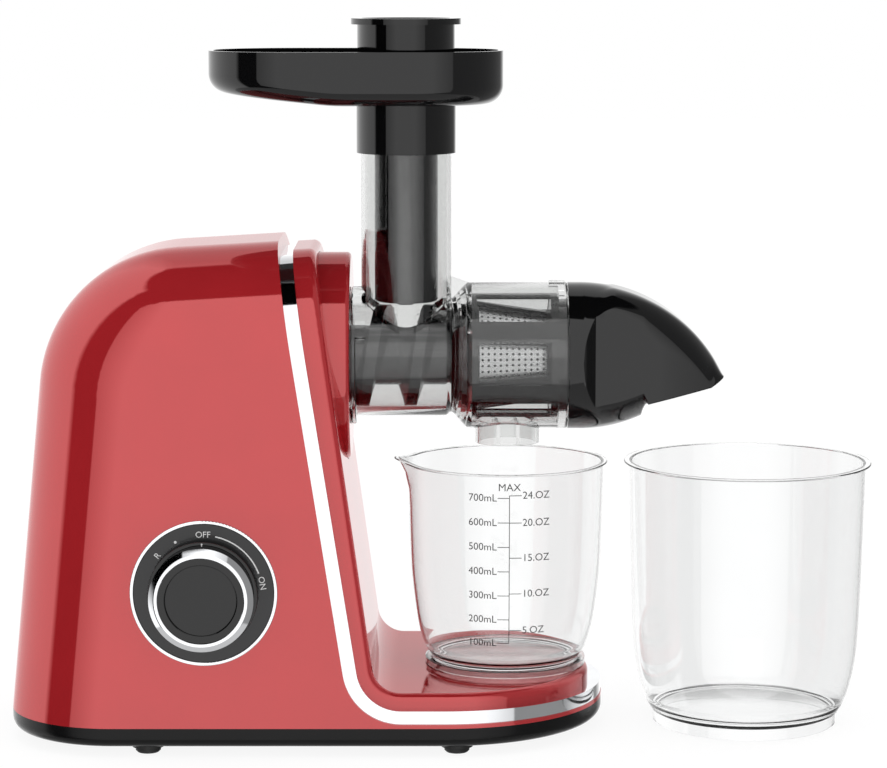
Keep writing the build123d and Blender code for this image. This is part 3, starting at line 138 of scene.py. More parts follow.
def tinted(tree, value, colour, change):
    """Colour that varies by a share of itself with a noise value."""
    darker = [c * (1 - change) for c in colour] + [1]
    lighter = [min(1.0, c * (1 + change)) for c in colour] + [1]
    inputs = {"A": darker, "B": lighter, "Factor": spread(tree, value, 0, 1)}
    return new_node(tree, "Mix", inputs, "Result", data_type="RGBA")


def raised(tree, value, depth):
    """Surface raised by depth, in metres, with a noise value."""
    return new_node(tree, "Bump", {"Distance": depth, "Height": value})


def plastic(name, colour, roughness, grain=0.0, change=0.04):
    """Moulded plastic. Its roughness varies a little, and grain is the depth of its texture."""
    material, tree, shader, place = new_material(name)
    put(tree, shader["Base Color"], tinted(tree, noise(tree, place, 35.0), colour, change))
    handling = noise(tree, place, 140.0, 5.0)
    put(tree, shader["Roughness"], spread(tree, handling, roughness * 0.8, roughness * 1.3))
    if grain:
        put(tree, shader["Normal"], raised(tree, noise(tree, place, 1800.0, 2.0), grain))
    return material


def metal(name, colour, roughness, brushed=None):
    """Bare or plated metal. Brushed is a stretch of its fine lines along the axes."""
    material, tree, shader, place = new_material(name)
    lines = noise(tree, place, 900.0, 4.0, brushed or (1, 1, 1))
    put(tree, shader["Base Color"], tinted(tree, noise(tree, place, 60.0), colour, 0.03))
    put(tree, shader["Roughness"], spread(tree, lines, roughness * 0.7, roughness * 1.4))
    put(tree, shader["Metallic"], 1.0)
    if brushed:
        put(tree, shader["Normal"], raised(tree, lines, 2e-6))
    return material


def clear(name, colour, roughness, change):
    """Clear moulded plastic: light takes the colour as it passes a wall."""
    material, tree, shader, place = new_material(name)
    put(tree, shader["Base Color"], tinted(tree, noise(tree, place, 30.0), colour, change))
    handling = noise(tree, place, 200.0)
    put(tree, shader["Roughness"], spread(tree, handling, roughness * 0.5, roughness))
    put(tree, shader["Transmission Weight"], 1.0)
    put(tree, shader["IOR"], 1.49)
    return material


def ink(name, colour):
    """Flat print with a slightly uneven gloss."""
    material, tree, shader, place = new_material(name)
    put(tree, shader["Base Color"], tinted(tree, noise(tree, place, 500.0), colour, 0.03))
    put(tree, shader["Roughness"], spread(tree, noise(tree, place, 900.0), 0.35, 0.55))
    return material


RED = plastic("red_gloss", (0.385, 0.017, 0.022), 0.04, grain=1e-6)
shader_inputs(RED)["IOR"].default_value = 2.2
shader_inputs(RED)["Specular IOR Level"].default_value = 0.85
shader_inputs(RED)["Specular Tint"].default_value = (1.0, 0.32, 0.32, 1)
BLACK = plastic("black_gloss", (0.0025, 0.0025, 0.0027), 0.035, grain=8e-7)
BLACK_SATIN = plastic("black_satin", (0.004, 0.004, 0.0045), 0.16, grain=3e-6)
PLATE = plastic("dial_black", (0.014, 0.014, 0.015), 0.12, grain=2e-6)
PAN = plastic("pan_black", (0.004, 0.004, 0.0042), 0.2, grain=3e-6)
shader_inputs(PAN)["Specular IOR Level"].default_value = 0.2
AUGER = plastic("auger_charcoal", (0.012, 0.013, 0.013), 0.2, grain=5e-6)
CHROME = metal("bright_chrome", (0.86, 0.87, 0.89), 0.05)
STEEL = metal("turned_steel", (0.55, 0.55, 0.56), 0.28, brushed=(0.05, 1, 1))
SHEET_STEEL = metal("strainer_steel", (0.62, 0.62, 0.625), 0.26, brushed=(0.1, 1, 1))
BRONZE = metal("sintered_bronze", (0.5, 0.33, 0.15), 0.4)
FERRITE = plastic("ferrite", (0.05, 0.05, 0.055), 0.55, grain=2e-5, change=0.12)
NYLON = plastic("gear_nylon", (0.72, 0.69, 0.6), 0.35, grain=5e-6)
GREY = plastic("inner_grey", (0.2, 0.2, 0.21), 0.4, grain=1e-5)
BOARD = plastic("board_green", (0.02, 0.16, 0.06), 0.3, grain=4e-6, change=0.1)
RUBBER = plastic("soft_rubber", (0.012, 0.012, 0.012), 0.6, grain=2e-5, change=0.1)
SMOKE = clear("smoked_clear", (0.8, 0.805, 0.8), 0.012, 0.01)
CLEAR = clear("clear_plastic", (0.975, 0.978, 0.978), 0.006, 0.004)
PRINT_DARK = ink("scale_ink", (0.03, 0.03, 0.03))
PRINT_WHITE = ink("dial_ink", (0.85, 0.85, 0.85))

NODE_MATERIALS = {
    RED: ["rear_shell", "front_shell", "drive_collar"],
    BLACK: ["end_cap", "feed_tray", "pusher", "knob_face"],
    PAN: ["base_pan"],
    BLACK_SATIN: ["strainer_cage", "lock_microswitch", "board_parts"],
    PLATE: ["dial_plate"],
    AUGER: ["auger"],
    CHROME: ["trim_band", "dial_ring", "knob_ring"],
    STEEL: [
        "base_screws", "gearbox_screws", "idler_pin", "knob_shaft", "motor_can", "motor_end_cap",
        "motor_pinion", "output_shaft",
    ],
    BRONZE: ["motor_bearings", "output_bearings"],
    FERRITE: ["stator_magnets", "rotor"],
    NYLON: ["idler_gear", "idler_pinion", "output_gear"],
    GREY: [
        "rotary_switch", "motor_cradle", "gearbox_housing", "gearbox_cover", "cooling_fan",
        "board_spacers", "knob_body",
    ],
    BOARD: ["control_board"],
    RUBBER: ["rubber_feet", "shaft_seal", "drum_gasket", "cap_gasket", "cord_gland"],
    SMOKE: ["drum_housing"],
    CLEAR: ["juice_cup", "pulp_cup"],
    SHEET_STEEL: ["strainer_mesh"],
}
for material, nodes in NODE_MATERIALS.items():
    for node in nodes:
        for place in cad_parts[node].material_slots:
            place.material = material


# ---- Pieces ----------------------------------------------------------------------
def as_mesh(name, form):
    """New mesh from a bmesh, which is used up. A mesh is given back as it is."""
    if not isinstance(form, bmesh.types.BMesh):
        return form
    mesh = bpy.data.meshes.new(name)
    form.to_mesh(mesh)
    form.free()
    return mesh


def add_piece(name, form, body, material):
    """New piece with its material and body. Print isn't seen in reflections."""
    piece = bpy.data.objects.new(name, as_mesh(name, form))
    piece.visible_glossy = material not in (PRINT_DARK, PRINT_WHITE)
    bpy.context.scene.collection.objects.link(piece)
    piece.data.materials.clear()
    piece.data.materials.append(material)
    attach(piece, body)
    return piece


def at(x, y, z):
    """Point in millimetres from the machine's own origin, on its mid-plane at table height."""
    return ORIGIN + Vector((x, y, z)) * MM


def spun(profile, place, along, out, steps=128):
    """Solid of revolution about a line through place, from (radius, distance) in millimetres."""
    along, out = Vector(along), Vector(out)
    side = along.cross(out)
    solid = bmesh.new()
    rings = []
    for radius, distance in profile:
        centre = place + along * distance * MM
        if radius == 0:
            rings.append([solid.verts.new(centre)] * steps)
            continue
        turns = [2 * math.pi * i / steps for i in range(steps)]
        rings.append([
            solid.verts.new(centre + (out * math.cos(a) + side * math.sin(a)) * radius * MM) for a in turns
        ])
    for first, second in zip(rings, rings[1:] + rings[:1]):
        for i in range(steps):
            j = (i + 1) % steps
            corners = list(dict.fromkeys([first[i], first[j], second[j], second[i]]))
            if len(corners) > 2:
                solid.faces.new(corners)
    bmesh.ops.recalc_face_normals(solid, faces=solid.faces)
    return solid


def smooth_line(points, steps=6):
    """Curve through all points."""
    line = []
    ends = [points[0]] + list(points) + [points[-1]]
    for before, start, end, after in zip(ends, ends[1:], ends[2:], ends[3:]):
        for i in range(steps):
            t = i / steps
            point = []
            for a, b, c, d in zip(before, start, end, after):
                square, cube = 2 * a - 5 * b + 4 * c - d, 3 * b - a - 3 * c + d
                point.append(0.5 * (2 * b + (c - a) * t + square * t**2 + cube * t**3))
            line.append(tuple(point))
    return line + [tuple(points[-1])]


def share_of(x, start, end):
    """How far x has come from start to end, from 0 to 1."""
    return min(1.0, max(0.0, (x - start) / (end - start)))


def blended(first, second, share):
    """Outline between two outlines with the same number of points."""
    return [
        (a * (1 - share) + c * share, b * (1 - share) + d * share)
        for (a, b), (c, d) in zip(first, second)
    ]


def smooth_shaded(piece, angle=30):
    """Smooth shading that keeps edges sharper than the angle."""
    piece.data.shade_smooth()
    piece.data.set_sharp_from_angle(angle=math.radians(angle))
    return piece


def prism(outline, place, across, up, along, start, end):
    """Straight solid from a flat outline in millimetres, from start to end along a direction."""
    across, up, along = Vector(across), Vector(up), Vector(along)
    solid = bmesh.new()
    rows = []
    for distance in (start, end):
        rows.append([
            solid.verts.new(place + (across * a + up * b + along * distance) * MM) for a, b in outline
        ])
    solid.faces.new(rows[0])
    solid.faces.new(rows[1][::-1])
    for i in range(len(outline)):
        j = (i + 1) % len(outline)
        solid.faces.new([rows[0][j], rows[0][i], rows[1][i], rows[1][j]])
    bmesh.ops.recalc_face_normals(solid, faces=solid.faces)
    return solid


AXIS_X, AXIS_Y, AXIS_Z = (1, 0, 0), (0, 1, 0), (0, 0, 1)
UPRIGHT = (AXIS_X, AXIS_Y, AXIS_Z)  # across, up and along of a prism that stands
ALONG_DRIVE = (AXIS_Y, AXIS_Z, AXIS_X)  # and of one that lies along the drive line


def box_form(low, high):
    """Box between two corners in the machine's millimetres."""
    outline = [(low[0], low[1]), (high[0], low[1]), (high[0], high[1]), (low[0], high[1])]
    return prism(outline, at(0, 0, 0), *UPRIGHT, low[2], high[2])


def arc_points(middle_a, middle_b, radius, start, end, steps):
    """Points of an arc, with its angles in degrees."""
    turns = [math.radians(start + (end - start) * i / steps) for i in range(steps + 1)]
    return [(middle_a + radius * math.cos(a), middle_b + radius * math.sin(a)) for a in turns]


def oval_form(x, half_x, half_y, low_z, high_z, steps=96):
    """Upright elliptical cylinder on the mid-plane, in the machine's millimetres."""
    circle = arc_points(0, 0, 1.0, 0, 360 - 360 / steps, steps - 1)
    outline = [(a * half_x, b * half_y) for a, b in circle]
    return prism(outline, at(x, 0, 0), *UPRIGHT, low_z, high_z)


SEAM = 0.002  # points nearer than this, in millimetres, are joined after a boolean


def carved(first, *changes):
    """Mesh of the first form after exact booleans with others, as (operation, form) pairs."""
    holders = []
    for form in [first] + [form for operation, form in changes]:
        holder = bpy.data.objects.new("form", as_mesh("form", form))
        bpy.context.scene.collection.objects.link(holder)
        holders.append(holder)
    for (operation, form), tool in zip(changes, holders[1:]):
        step = holders[0].modifiers.new("form", "BOOLEAN")
        step.operation = operation
        step.solver = "EXACT"
        step.object = tool
    bpy.context.view_layer.update()
    depsgraph = bpy.context.evaluated_depsgraph_get()
    mesh = bpy.data.meshes.new_from_object(holders[0].evaluated_get(depsgraph))
    for holder in holders:
        bpy.data.objects.remove(holder)
    solid = bmesh.new()
    solid.from_mesh(mesh)
    bmesh.ops.remove_doubles(solid, verts=solid.verts, dist=SEAM * MM)
    bmesh.ops.dissolve_degenerate(solid, edges=solid.edges, dist=SEAM * MM)
    solid.to_mesh(mesh)
    solid.free()
    return mesh


# ---- Drum --------------------------------------------------------------------------
# Millimetres in the machine's own frame: x along the drive line, z up from the table.
DRIVE_Z = 200.8
DRIVE_LINE = at(0, 0, DRIVE_Z)
DRUM_STEPS = 144
EDGE = 0.4  # chamfer of its turned edges
BARREL_RADIUS, BARREL_BORE = 32.5, 28.0
BARREL_REAR_X, BARREL_FLOOR_X = -71.5, -68.5
SHAFT_HOLE = 10.5
FLANGE_RADIUS, FLANGE_X = 37.0, (-49.2, -46.7)
WAIST_RADIUS, WAIST_X = 30.6, 4.0
CHAMBER_RADIUS, CHAMBER_X = 39.3, (14.4, 66.2)
ROOM_RADIUS, ROOM_X = 36.9, (15.2, 61.2)
STEP_X, STEP_END_X = 11.3, 13.2  # where the barrel's bore opens into the chamber
SEAT_RADIUS = 33.0  # of the collar that takes the cap
MOUTH_RADIUS, MOUTH_X = 30.6, 74.0
FLOOR_Z = DRIVE_Z - 34.6  # of the chamber, where the juice runs to the spout
SPOUT_X, SPOUT_RADIUS, SPOUT_WALL, SPOUT_END_Z = 34.3, 17.4, 2.0, 153.7
SPOUT_RIBS_X, RIB_HALF, RIB_DROP = (29.5, 39.6), 0.9, 0.2  # drop below the chamber's floor
CHUTE_X, CHUTE_HALF_X, CHUTE_HALF_Y, CHUTE_WALL = -20.0, 24.2, 27.0, 2.2
CHUTE_TOP_Z = 338.0
# Radii are (root inside the wall, outside). Turns are in degrees from +Y towards +Z.
GRIP_RADII, GRIP_TURN, GRIP_WIDTH, GRIP_X = (30.0, 37.3), 90, 137, (-48.0, -41.6)
LUG_TURNS, LUG_WIDTH = (90, 210, 330), 31
REAR_LUG_RADII, REAR_LUG_X = (31.0, 36.8), (-58.0, -53.8)
CAP_LUG_RADII, CAP_LUG_X = (31.5, 35.2), (69.2, 72.2)
CATCH_HALF, CATCH_X, CATCH_HEIGHT = 4, (56.5, 65.0), 0.9
GUSSET_X, GUSSET_HALF = (3.0, 15.0), 1.2
GUSSET_Z = (DRIVE_Z + 29, DRIVE_Z + 43.0)
CUT_PAST = 1  # how far a form runs into or past its neighbour
DRUM_PROFILE = [
    (0, BARREL_REAR_X), (BARREL_RADIUS - 0.5, BARREL_REAR_X), (BARREL_RADIUS, BARREL_REAR_X + 0.5),
    (BARREL_RADIUS, FLANGE_X[0]), (FLANGE_RADIUS - EDGE, FLANGE_X[0]), (FLANGE_RADIUS, FLANGE_X[0] + EDGE),
    (FLANGE_RADIUS, FLANGE_X[1] - EDGE), (FLANGE_RADIUS - EDGE, FLANGE_X[1]), (BARREL_RADIUS, FLANGE_X[1]),
    (BARREL_RADIUS, WAIST_X - 2.8), (BARREL_RADIUS - 0.5, WAIST_X - 1.8),
    (WAIST_RADIUS + EDGE, WAIST_X - 1.0), (WAIST_RADIUS, WAIST_X), (WAIST_RADIUS + EDGE, WAIST_X + 1.0),
    (CHAMBER_RADIUS - 1.7, CHAMBER_X[0] - 3.4), (CHAMBER_RADIUS - EDGE, CHAMBER_X[0] - 1.8),
    (CHAMBER_RADIUS, CHAMBER_X[0]),
    (CHAMBER_RADIUS, CHAMBER_X[1] - EDGE), (CHAMBER_RADIUS - EDGE, CHAMBER_X[1]), (SEAT_RADIUS, CHAMBER_X[1]),
    (SEAT_RADIUS, MOUTH_X), (0, MOUTH_X),
]
DRUM_ROOM = [
    (0, BARREL_REAR_X - 1.5), (SHAFT_HOLE, BARREL_REAR_X - 1.5), (SHAFT_HOLE, BARREL_FLOOR_X),
    (BARREL_BORE, BARREL_FLOOR_X), (BARREL_BORE, STEP_X), (MOUTH_RADIUS, STEP_X),
    (MOUTH_RADIUS, STEP_END_X), (ROOM_RADIUS - 1.7, STEP_END_X), (ROOM_RADIUS, ROOM_X[0]),
    (ROOM_RADIUS, ROOM_X[1]), (MOUTH_RADIUS, ROOM_X[1]), (MOUTH_RADIUS, MOUTH_X + CUT_PAST),
    (0, MOUTH_X + CUT_PAST),
]


def sector_form(radii, turn, width, ends, steps=12):
    """Part of a ring about the drive line, between two radii and between its ends along x."""
    low, high = turn - width / 2, turn + width / 2
    outline = arc_points(0, 0, radii[1], low, high, steps) + arc_points(0, 0, radii[0], high, low, steps)
    return prism(outline, DRIVE_LINE, *ALONG_DRIVE, *ends)


def drum_outside():
    """What is added to the drum's turned body: chute, spout, grip, gusset, catch and lugs."""
    crest_z = DRIVE_Z + CHAMBER_RADIUS
    gusset = [
        (GUSSET_X[0], GUSSET_Z[1]), (GUSSET_X[1], crest_z - 0.5),
        (GUSSET_X[1], GUSSET_Z[0]), (GUSSET_X[0], GUSSET_Z[0]),
    ]
    forms = [
        oval_form(CHUTE_X, CHUTE_HALF_X, CHUTE_HALF_Y, DRIVE_Z, CHUTE_TOP_Z),
        oval_form(SPOUT_X, SPOUT_RADIUS, SPOUT_RADIUS, SPOUT_END_Z, FLOOR_Z + CUT_PAST),
        sector_form(GRIP_RADII, GRIP_TURN, GRIP_WIDTH, GRIP_X),
        prism(gusset, at(0, 0, 0), AXIS_X, AXIS_Z, AXIS_Y, -GUSSET_HALF, GUSSET_HALF),
        box_form(
            (CATCH_X[0], -CATCH_HALF, crest_z - CUT_PAST),
            (CATCH_X[1], CATCH_HALF, crest_z + CATCH_HEIGHT),
        ),
    ]
    for turn in LUG_TURNS:
        forms.append(sector_form(REAR_LUG_RADII, turn, LUG_WIDTH, REAR_LUG_X))
        forms.append(sector_form(CAP_LUG_RADII, turn, LUG_WIDTH, CAP_LUG_X))
    return forms


def drum_inside():
    """What is cut out of it: room with a flat floor, chute and spout."""
    below_floor = box_form((-80, -60, 100), (80, 60, FLOOR_Z))    # larger than the drum
    between = math.radians(180 / DRUM_STEPS)    # keeps the inner corners off the outer ones
    inner_up = (0, math.sin(between), math.cos(between))
    room = spun(DRUM_ROOM, DRIVE_LINE, AXIS_X, inner_up, DRUM_STEPS)
    chute = (CHUTE_HALF_X - CHUTE_WALL, CHUTE_HALF_Y - CHUTE_WALL)
    bore = SPOUT_RADIUS - SPOUT_WALL
    return [
        carved(room, ("DIFFERENCE", below_floor)),
        oval_form(CHUTE_X, *chute, DRIVE_Z, CHUTE_TOP_Z + CUT_PAST),
        oval_form(SPOUT_X, bore, bore, SPOUT_END_Z - CUT_PAST, FLOOR_Z + CUT_PAST),
    ]


def spout_ribs():
    """Two upright ribs across the spout's opening."""
    ribs = []
    for x in SPOUT_RIBS_X:
        reach = abs(x - SPOUT_X) + RIB_HALF
        half = math.sqrt((SPOUT_RADIUS - SPOUT_WALL / 2) ** 2 - reach**2)
        low, high = SPOUT_END_Z + CUT_PAST, FLOOR_Z - RIB_DROP
        ribs.append(box_form((x - RIB_HALF, -half, low), (x + RIB_HALF, half, high)))
    return ribs


def drum():
    """Clear housing: barrel with its bayonet, chute, round chamber with a flat floor, and spout."""
    changes = [("UNION", form) for form in drum_outside()]
    changes += [("DIFFERENCE", form) for form in drum_inside()]
    changes += [("UNION", form) for form in spout_ribs()]
    shell = carved(spun(DRUM_PROFILE, DRIVE_LINE, AXIS_X, AXIS_Z, DRUM_STEPS), *changes)
    piece = smooth_shaded(add_piece("drum_shell", shell, "drum", SMOKE))
    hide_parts("drum_housing")


drum()


# ---- Strainer carrier --------------------------------------------------------------
SLEEVE_INNER, SLEEVE_RADIUS, SLEEVE_X = 31.2, 33.6, (14.9, 60.8)
SLEEVE_WINDOWS, SLEEVE_WINDOW_WIDTH, SLEEVE_WINDOW_X = 6, 40.0, (18.2, 57.2)
SLEEVE_CUT = (29.0, 36.0)  # radii of the forms that cut the windows
WINDOW_MIDDLE = 182.0  # degrees from +Y towards +Z, of one window
CAD_WINDOW_MIDDLE = 192.0  # the same window in the CAD model


def strainer_sleeve():
    """Outer ring of the strainer's carrier, with its row of windows."""
    ring = [
        (SLEEVE_INNER, SLEEVE_X[0]), (SLEEVE_RADIUS, SLEEVE_X[0]),
        (SLEEVE_RADIUS, SLEEVE_X[1]), (SLEEVE_INNER, SLEEVE_X[1]),
    ]
    cuts = []
    for i in range(SLEEVE_WINDOWS):
        turn = WINDOW_MIDDLE + 360 / SLEEVE_WINDOWS * i
        window = sector_form(SLEEVE_CUT, turn, SLEEVE_WINDOW_WIDTH, SLEEVE_WINDOW_X)
        cuts.append(("DIFFERENCE", window))
    shell = carved(spun(ring, DRIVE_LINE, AXIS_X, AXIS_Z, DRUM_STEPS), *cuts)
    smooth_shaded(add_piece("strainer_sleeve", shell, "drum", BLACK))


def strainer_carrier():
    """The carrier's inner cage, turned about the drive line so that its windows meet the sleeve's."""
    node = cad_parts["strainer_cage"]
    mesh = node.data.copy()
    turn = Matrix.Rotation(math.radians(WINDOW_MIDDLE - CAD_WINDOW_MIDDLE), 4, "X")
    axis = Vector((0, DRIVE.y, DRIVE.z))
    mesh.transform(Matrix.Translation(axis) @ turn @ Matrix.Translation(-axis) @ node.matrix_world)
    piece = smooth_shaded(add_piece("strainer_carrier", mesh, "drum", BLACK_SATIN))
    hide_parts("strainer_cage")


strainer_sleeve()
strainer_carrier()


# ---- Cap ---------------------------------------------------------------------------
# Heights are from the drive axis, and x runs along it.
COLLAR_RADIUS = 39.5
CAP_X, CAP_SHOULDER_X, CAP_FLAT_X = 66.5, 73.8, 80.5
CAP_HALF_WIDTH, CAP_TIP_HALF_WIDTH = 31.0, 20.0
CREST_RADIUS, CREST_X = 85.7, 72.5
CHIN_SWEEP = 76.8  # radius of the chin in side view
SHARP_ROUND, CHIN_ROUND, CHIN_ROUND_OVER = 0.2, 7.0, 5  # its corner, and how soon it rounds
LIP_X, LIP_TOP_X = 105.9, 108.7
UNDERSIDE_DROP, HEEL_DROP, TIP_DROP = 22.8, 15.0, 10.2
UNDERSIDE_EDGE = 0.8
HEEL_X = 142.7
TIP_X, TIP_CORNER = 149.9, 6.0
RIDGE_X, RIDGE_ROUND, TIP_RIDGE_ROUND = 92.0, 21.7, 17.0
CREST_FLAT = 0.5  # least half width of the crest between its rounded sides
CAP_WALL = 2.6
CAP_BORE, CAP_BORE_END_X = 33.3, 75.5
CAP_THROAT, CAP_THROAT_X = (30.4, 28.2), 82.0  # radii where it begins and ends
CAVITY_X = 81.0
OUTLET_X, OUTLET_HALF, OUTLET_DROP = (LIP_TOP_X + 4.5, LIP_TOP_X + 29), 17, (32, 12)
CORNER_STEPS, SWEEP_STEPS = 10, 22  # points of a section's corners and of its long arcs


def cap_crest(x):
    """Height of the cap's crest line."""
    if x <= CREST_X:
        return COLLAR_RADIUS
    return COLLAR_RADIUS - CREST_RADIUS + math.sqrt(CREST_RADIUS**2 - (x - CREST_X) ** 2)


def cap_bottom(x):
    """Lowest height of the cap's section: collar, chin, lip, then the straight underside."""
    if x <= CAP_SHOULDER_X:
        return -COLLAR_RADIUS
    if x <= LIP_X:
        return -COLLAR_RADIUS + CHIN_SWEEP - math.sqrt(CHIN_SWEEP**2 - (x - CAP_SHOULDER_X) ** 2)
    if x <= LIP_TOP_X:
        share = share_of(x, LIP_X, LIP_TOP_X)
        return cap_bottom(LIP_X) * (1 - share) - UNDERSIDE_DROP * share
    if x <= HEEL_X:
        return -UNDERSIDE_DROP + (UNDERSIDE_DROP - HEEL_DROP) * share_of(x, LIP_TOP_X, HEEL_X)
    return -HEEL_DROP + (HEEL_DROP - TIP_DROP) * share_of(x, HEEL_X, TIP_X)


def cap_half_width(x):
    """Half the cap's width: collar, shoulders, flat sides, then narrower to the rounded tip."""
    if x <= CAP_FLAT_X:
        share = share_of(x, CAP_SHOULDER_X, CAP_FLAT_X)
        return COLLAR_RADIUS + (CAP_HALF_WIDTH - COLLAR_RADIUS) * share
    along = share_of(x, LIP_X, TIP_X)
    near_tip = share_of(x, TIP_X - TIP_CORNER, TIP_X)
    rounded = TIP_CORNER * (1 - math.sqrt(1 - near_tip**2))
    return CAP_HALF_WIDTH - (CAP_HALF_WIDTH - CAP_TIP_HALF_WIDTH) * along**1.5 - rounded


def clipped_corner(radius, half, rounding):
    """From the flat side to the middle of a circle that the side clips, with the corner rounded."""
    reach = radius - rounding
    inner = min(half - rounding, reach)
    centre = (inner, math.sqrt(max(0.0, reach**2 - inner**2)))
    turn = math.degrees(math.atan2(centre[1], centre[0]))
    corner = arc_points(*centre, rounding, 0, turn, CORNER_STEPS)
    return corner + arc_points(0, 0, radius, turn, 90, SWEEP_STEPS)[1:]


def cap_section(x, inside=0.0):
    """Half outline as (y, z) from the bottom's middle, up the side, to the crest's middle."""
    half = cap_half_width(x) - inside
    top, bottom = cap_crest(x) - inside, cap_bottom(x) + inside
    circle = COLLAR_RADIUS - inside
    soft = share_of(x, CAP_FLAT_X, CAP_FLAT_X + CHIN_ROUND_OVER)
    clipped = clipped_corner(circle, half, SHARP_ROUND + (CHIN_ROUND - SHARP_ROUND) * soft)

    chin = [(y, bottom + circle - z) for y, z in clipped][::-1]
    edge = half - UNDERSIDE_EDGE
    flat = [(edge * i / SWEEP_STEPS, bottom) for i in range(SWEEP_STEPS)]
    flat += arc_points(edge, bottom + UNDERSIDE_EDGE, UNDERSIDE_EDGE, -90, 0, CORNER_STEPS)
    lower = blended(chin, flat, share_of(x, LIP_X, LIP_TOP_X))

    past = share_of(x, RIDGE_X, TIP_X)
    ridge = min(RIDGE_ROUND + (TIP_RIDGE_ROUND - RIDGE_ROUND) * past - inside, half - CREST_FLAT)
    squash = min(1.0, (top - bottom - UNDERSIDE_EDGE) / ridge)
    quarter = arc_points(half - ridge, top - ridge, ridge, 0, 90, SWEEP_STEPS)
    arched = [(y, top - (top - z) * squash) for y, z in quarter]
    arched += [((half - ridge) * (1 - i / CORNER_STEPS), top) for i in range(1, CORNER_STEPS + 1)]
    share = share_of(x, CAP_FLAT_X, RIDGE_X)
    rounded = [(y, z + top - circle) for y, z in clipped]
    return lower + blended(rounded, arched, share * share * (3 - 2 * share))


def cap_form(xs, inside=0.0):
    """Closed solid through the cap's sections."""
    solid = bmesh.new()
    rings = []
    for x in xs:
        half = cap_section(x, inside)
        outline = half + [(-y, z) for y, z in half[-2:0:-1]]
        rings.append([solid.verts.new(at(x, y, DRIVE_Z + z)) for y, z in outline])
    solid.faces.new(rings[0])
    solid.faces.new(rings[-1][::-1])
    for first, second in zip(rings, rings[1:]):
        for i in range(len(first)):
            j = (i + 1) % len(first)
            solid.faces.new([first[i], first[j], second[j], second[i]])
    bmesh.ops.remove_doubles(solid, verts=solid.verts, dist=0.001 * MM)
    bmesh.ops.recalc_face_normals(solid, faces=solid.faces)
    return solid


def spaced(start, end, steps):
    """Even steps from start, which is left out, to end."""
    return [start + (end - start) * i / steps for i in range(1, steps + 1)]


def cap():
    """Black cap: round collar, lens-shaped shoulders, arched beak and its outlet underneath."""
    xs = [CAP_X, CAP_SHOULDER_X] + spaced(CAP_SHOULDER_X, CAP_FLAT_X, 8) + spaced(CAP_FLAT_X, RIDGE_X, 9)
    xs += spaced(RIDGE_X, LIP_X, 6) + spaced(LIP_X, LIP_TOP_X, 6) + spaced(LIP_TOP_X, HEEL_X, 16)
    xs += [TIP_X - (TIP_X - HEEL_X) * (1 - i / 12) ** 2 for i in range(1, 13)]
    inner_xs = [CAVITY_X] + spaced(CAVITY_X, LIP_X - CAP_WALL, 10) + spaced(LIP_TOP_X, HEEL_X, 14)
    mouth = spun([
        (0, CAP_X - CUT_PAST), (CAP_BORE, CAP_X - CUT_PAST), (CAP_BORE, CAP_BORE_END_X),
        (CAP_THROAT[0], CAP_BORE_END_X), (CAP_THROAT[1], CAP_THROAT_X), (0, CAP_THROAT_X),
    ], DRIVE_LINE, AXIS_X, AXIS_Z, 96)
    outlet = box_form(
        (OUTLET_X[0], -OUTLET_HALF, DRIVE_Z - OUTLET_DROP[0]),
        (OUTLET_X[1], OUTLET_HALF, DRIVE_Z - OUTLET_DROP[1]),
    )
    cuts = [("DIFFERENCE", form) for form in (cap_form(inner_xs, CAP_WALL), mouth, outlet)]
    shell = carved(cap_form(xs), *cuts)
    piece = smooth_shaded(add_piece("cap_shell", shell, "cap", BLACK), 28)
    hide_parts("end_cap")


cap()


# ---- Knob --------------------------------------------------------------------------
# Depths are in millimetres from the dial's face towards the user.
SKIRT_RADIUS, SKIRT_GAP, SKIRT_DEPTH = 28.4, 0.3, 8.6
SKIRT_INNER, NECK_RADIUS = 24.0, 26.2
BEZEL_RADIUS, BEZEL_DEPTH = 26.9, 18.2  # where the bright bevel begins
BEZEL_BACK, BEZEL_LIP = 0.6, 5  # how far the bezel runs back outside and inside
RIM_RADIUS, RIM_INNER = 24.2, 22.2
FACE_SINK, FACE_THICKNESS, FACE_GAP = 0.7, 2.3, 0.1
FACE_STEP_RADIUS, FACE_STEP = 18.4, 1.3
POINTER_WIDTH, POINTER_TAPER = 1.1, 0.3


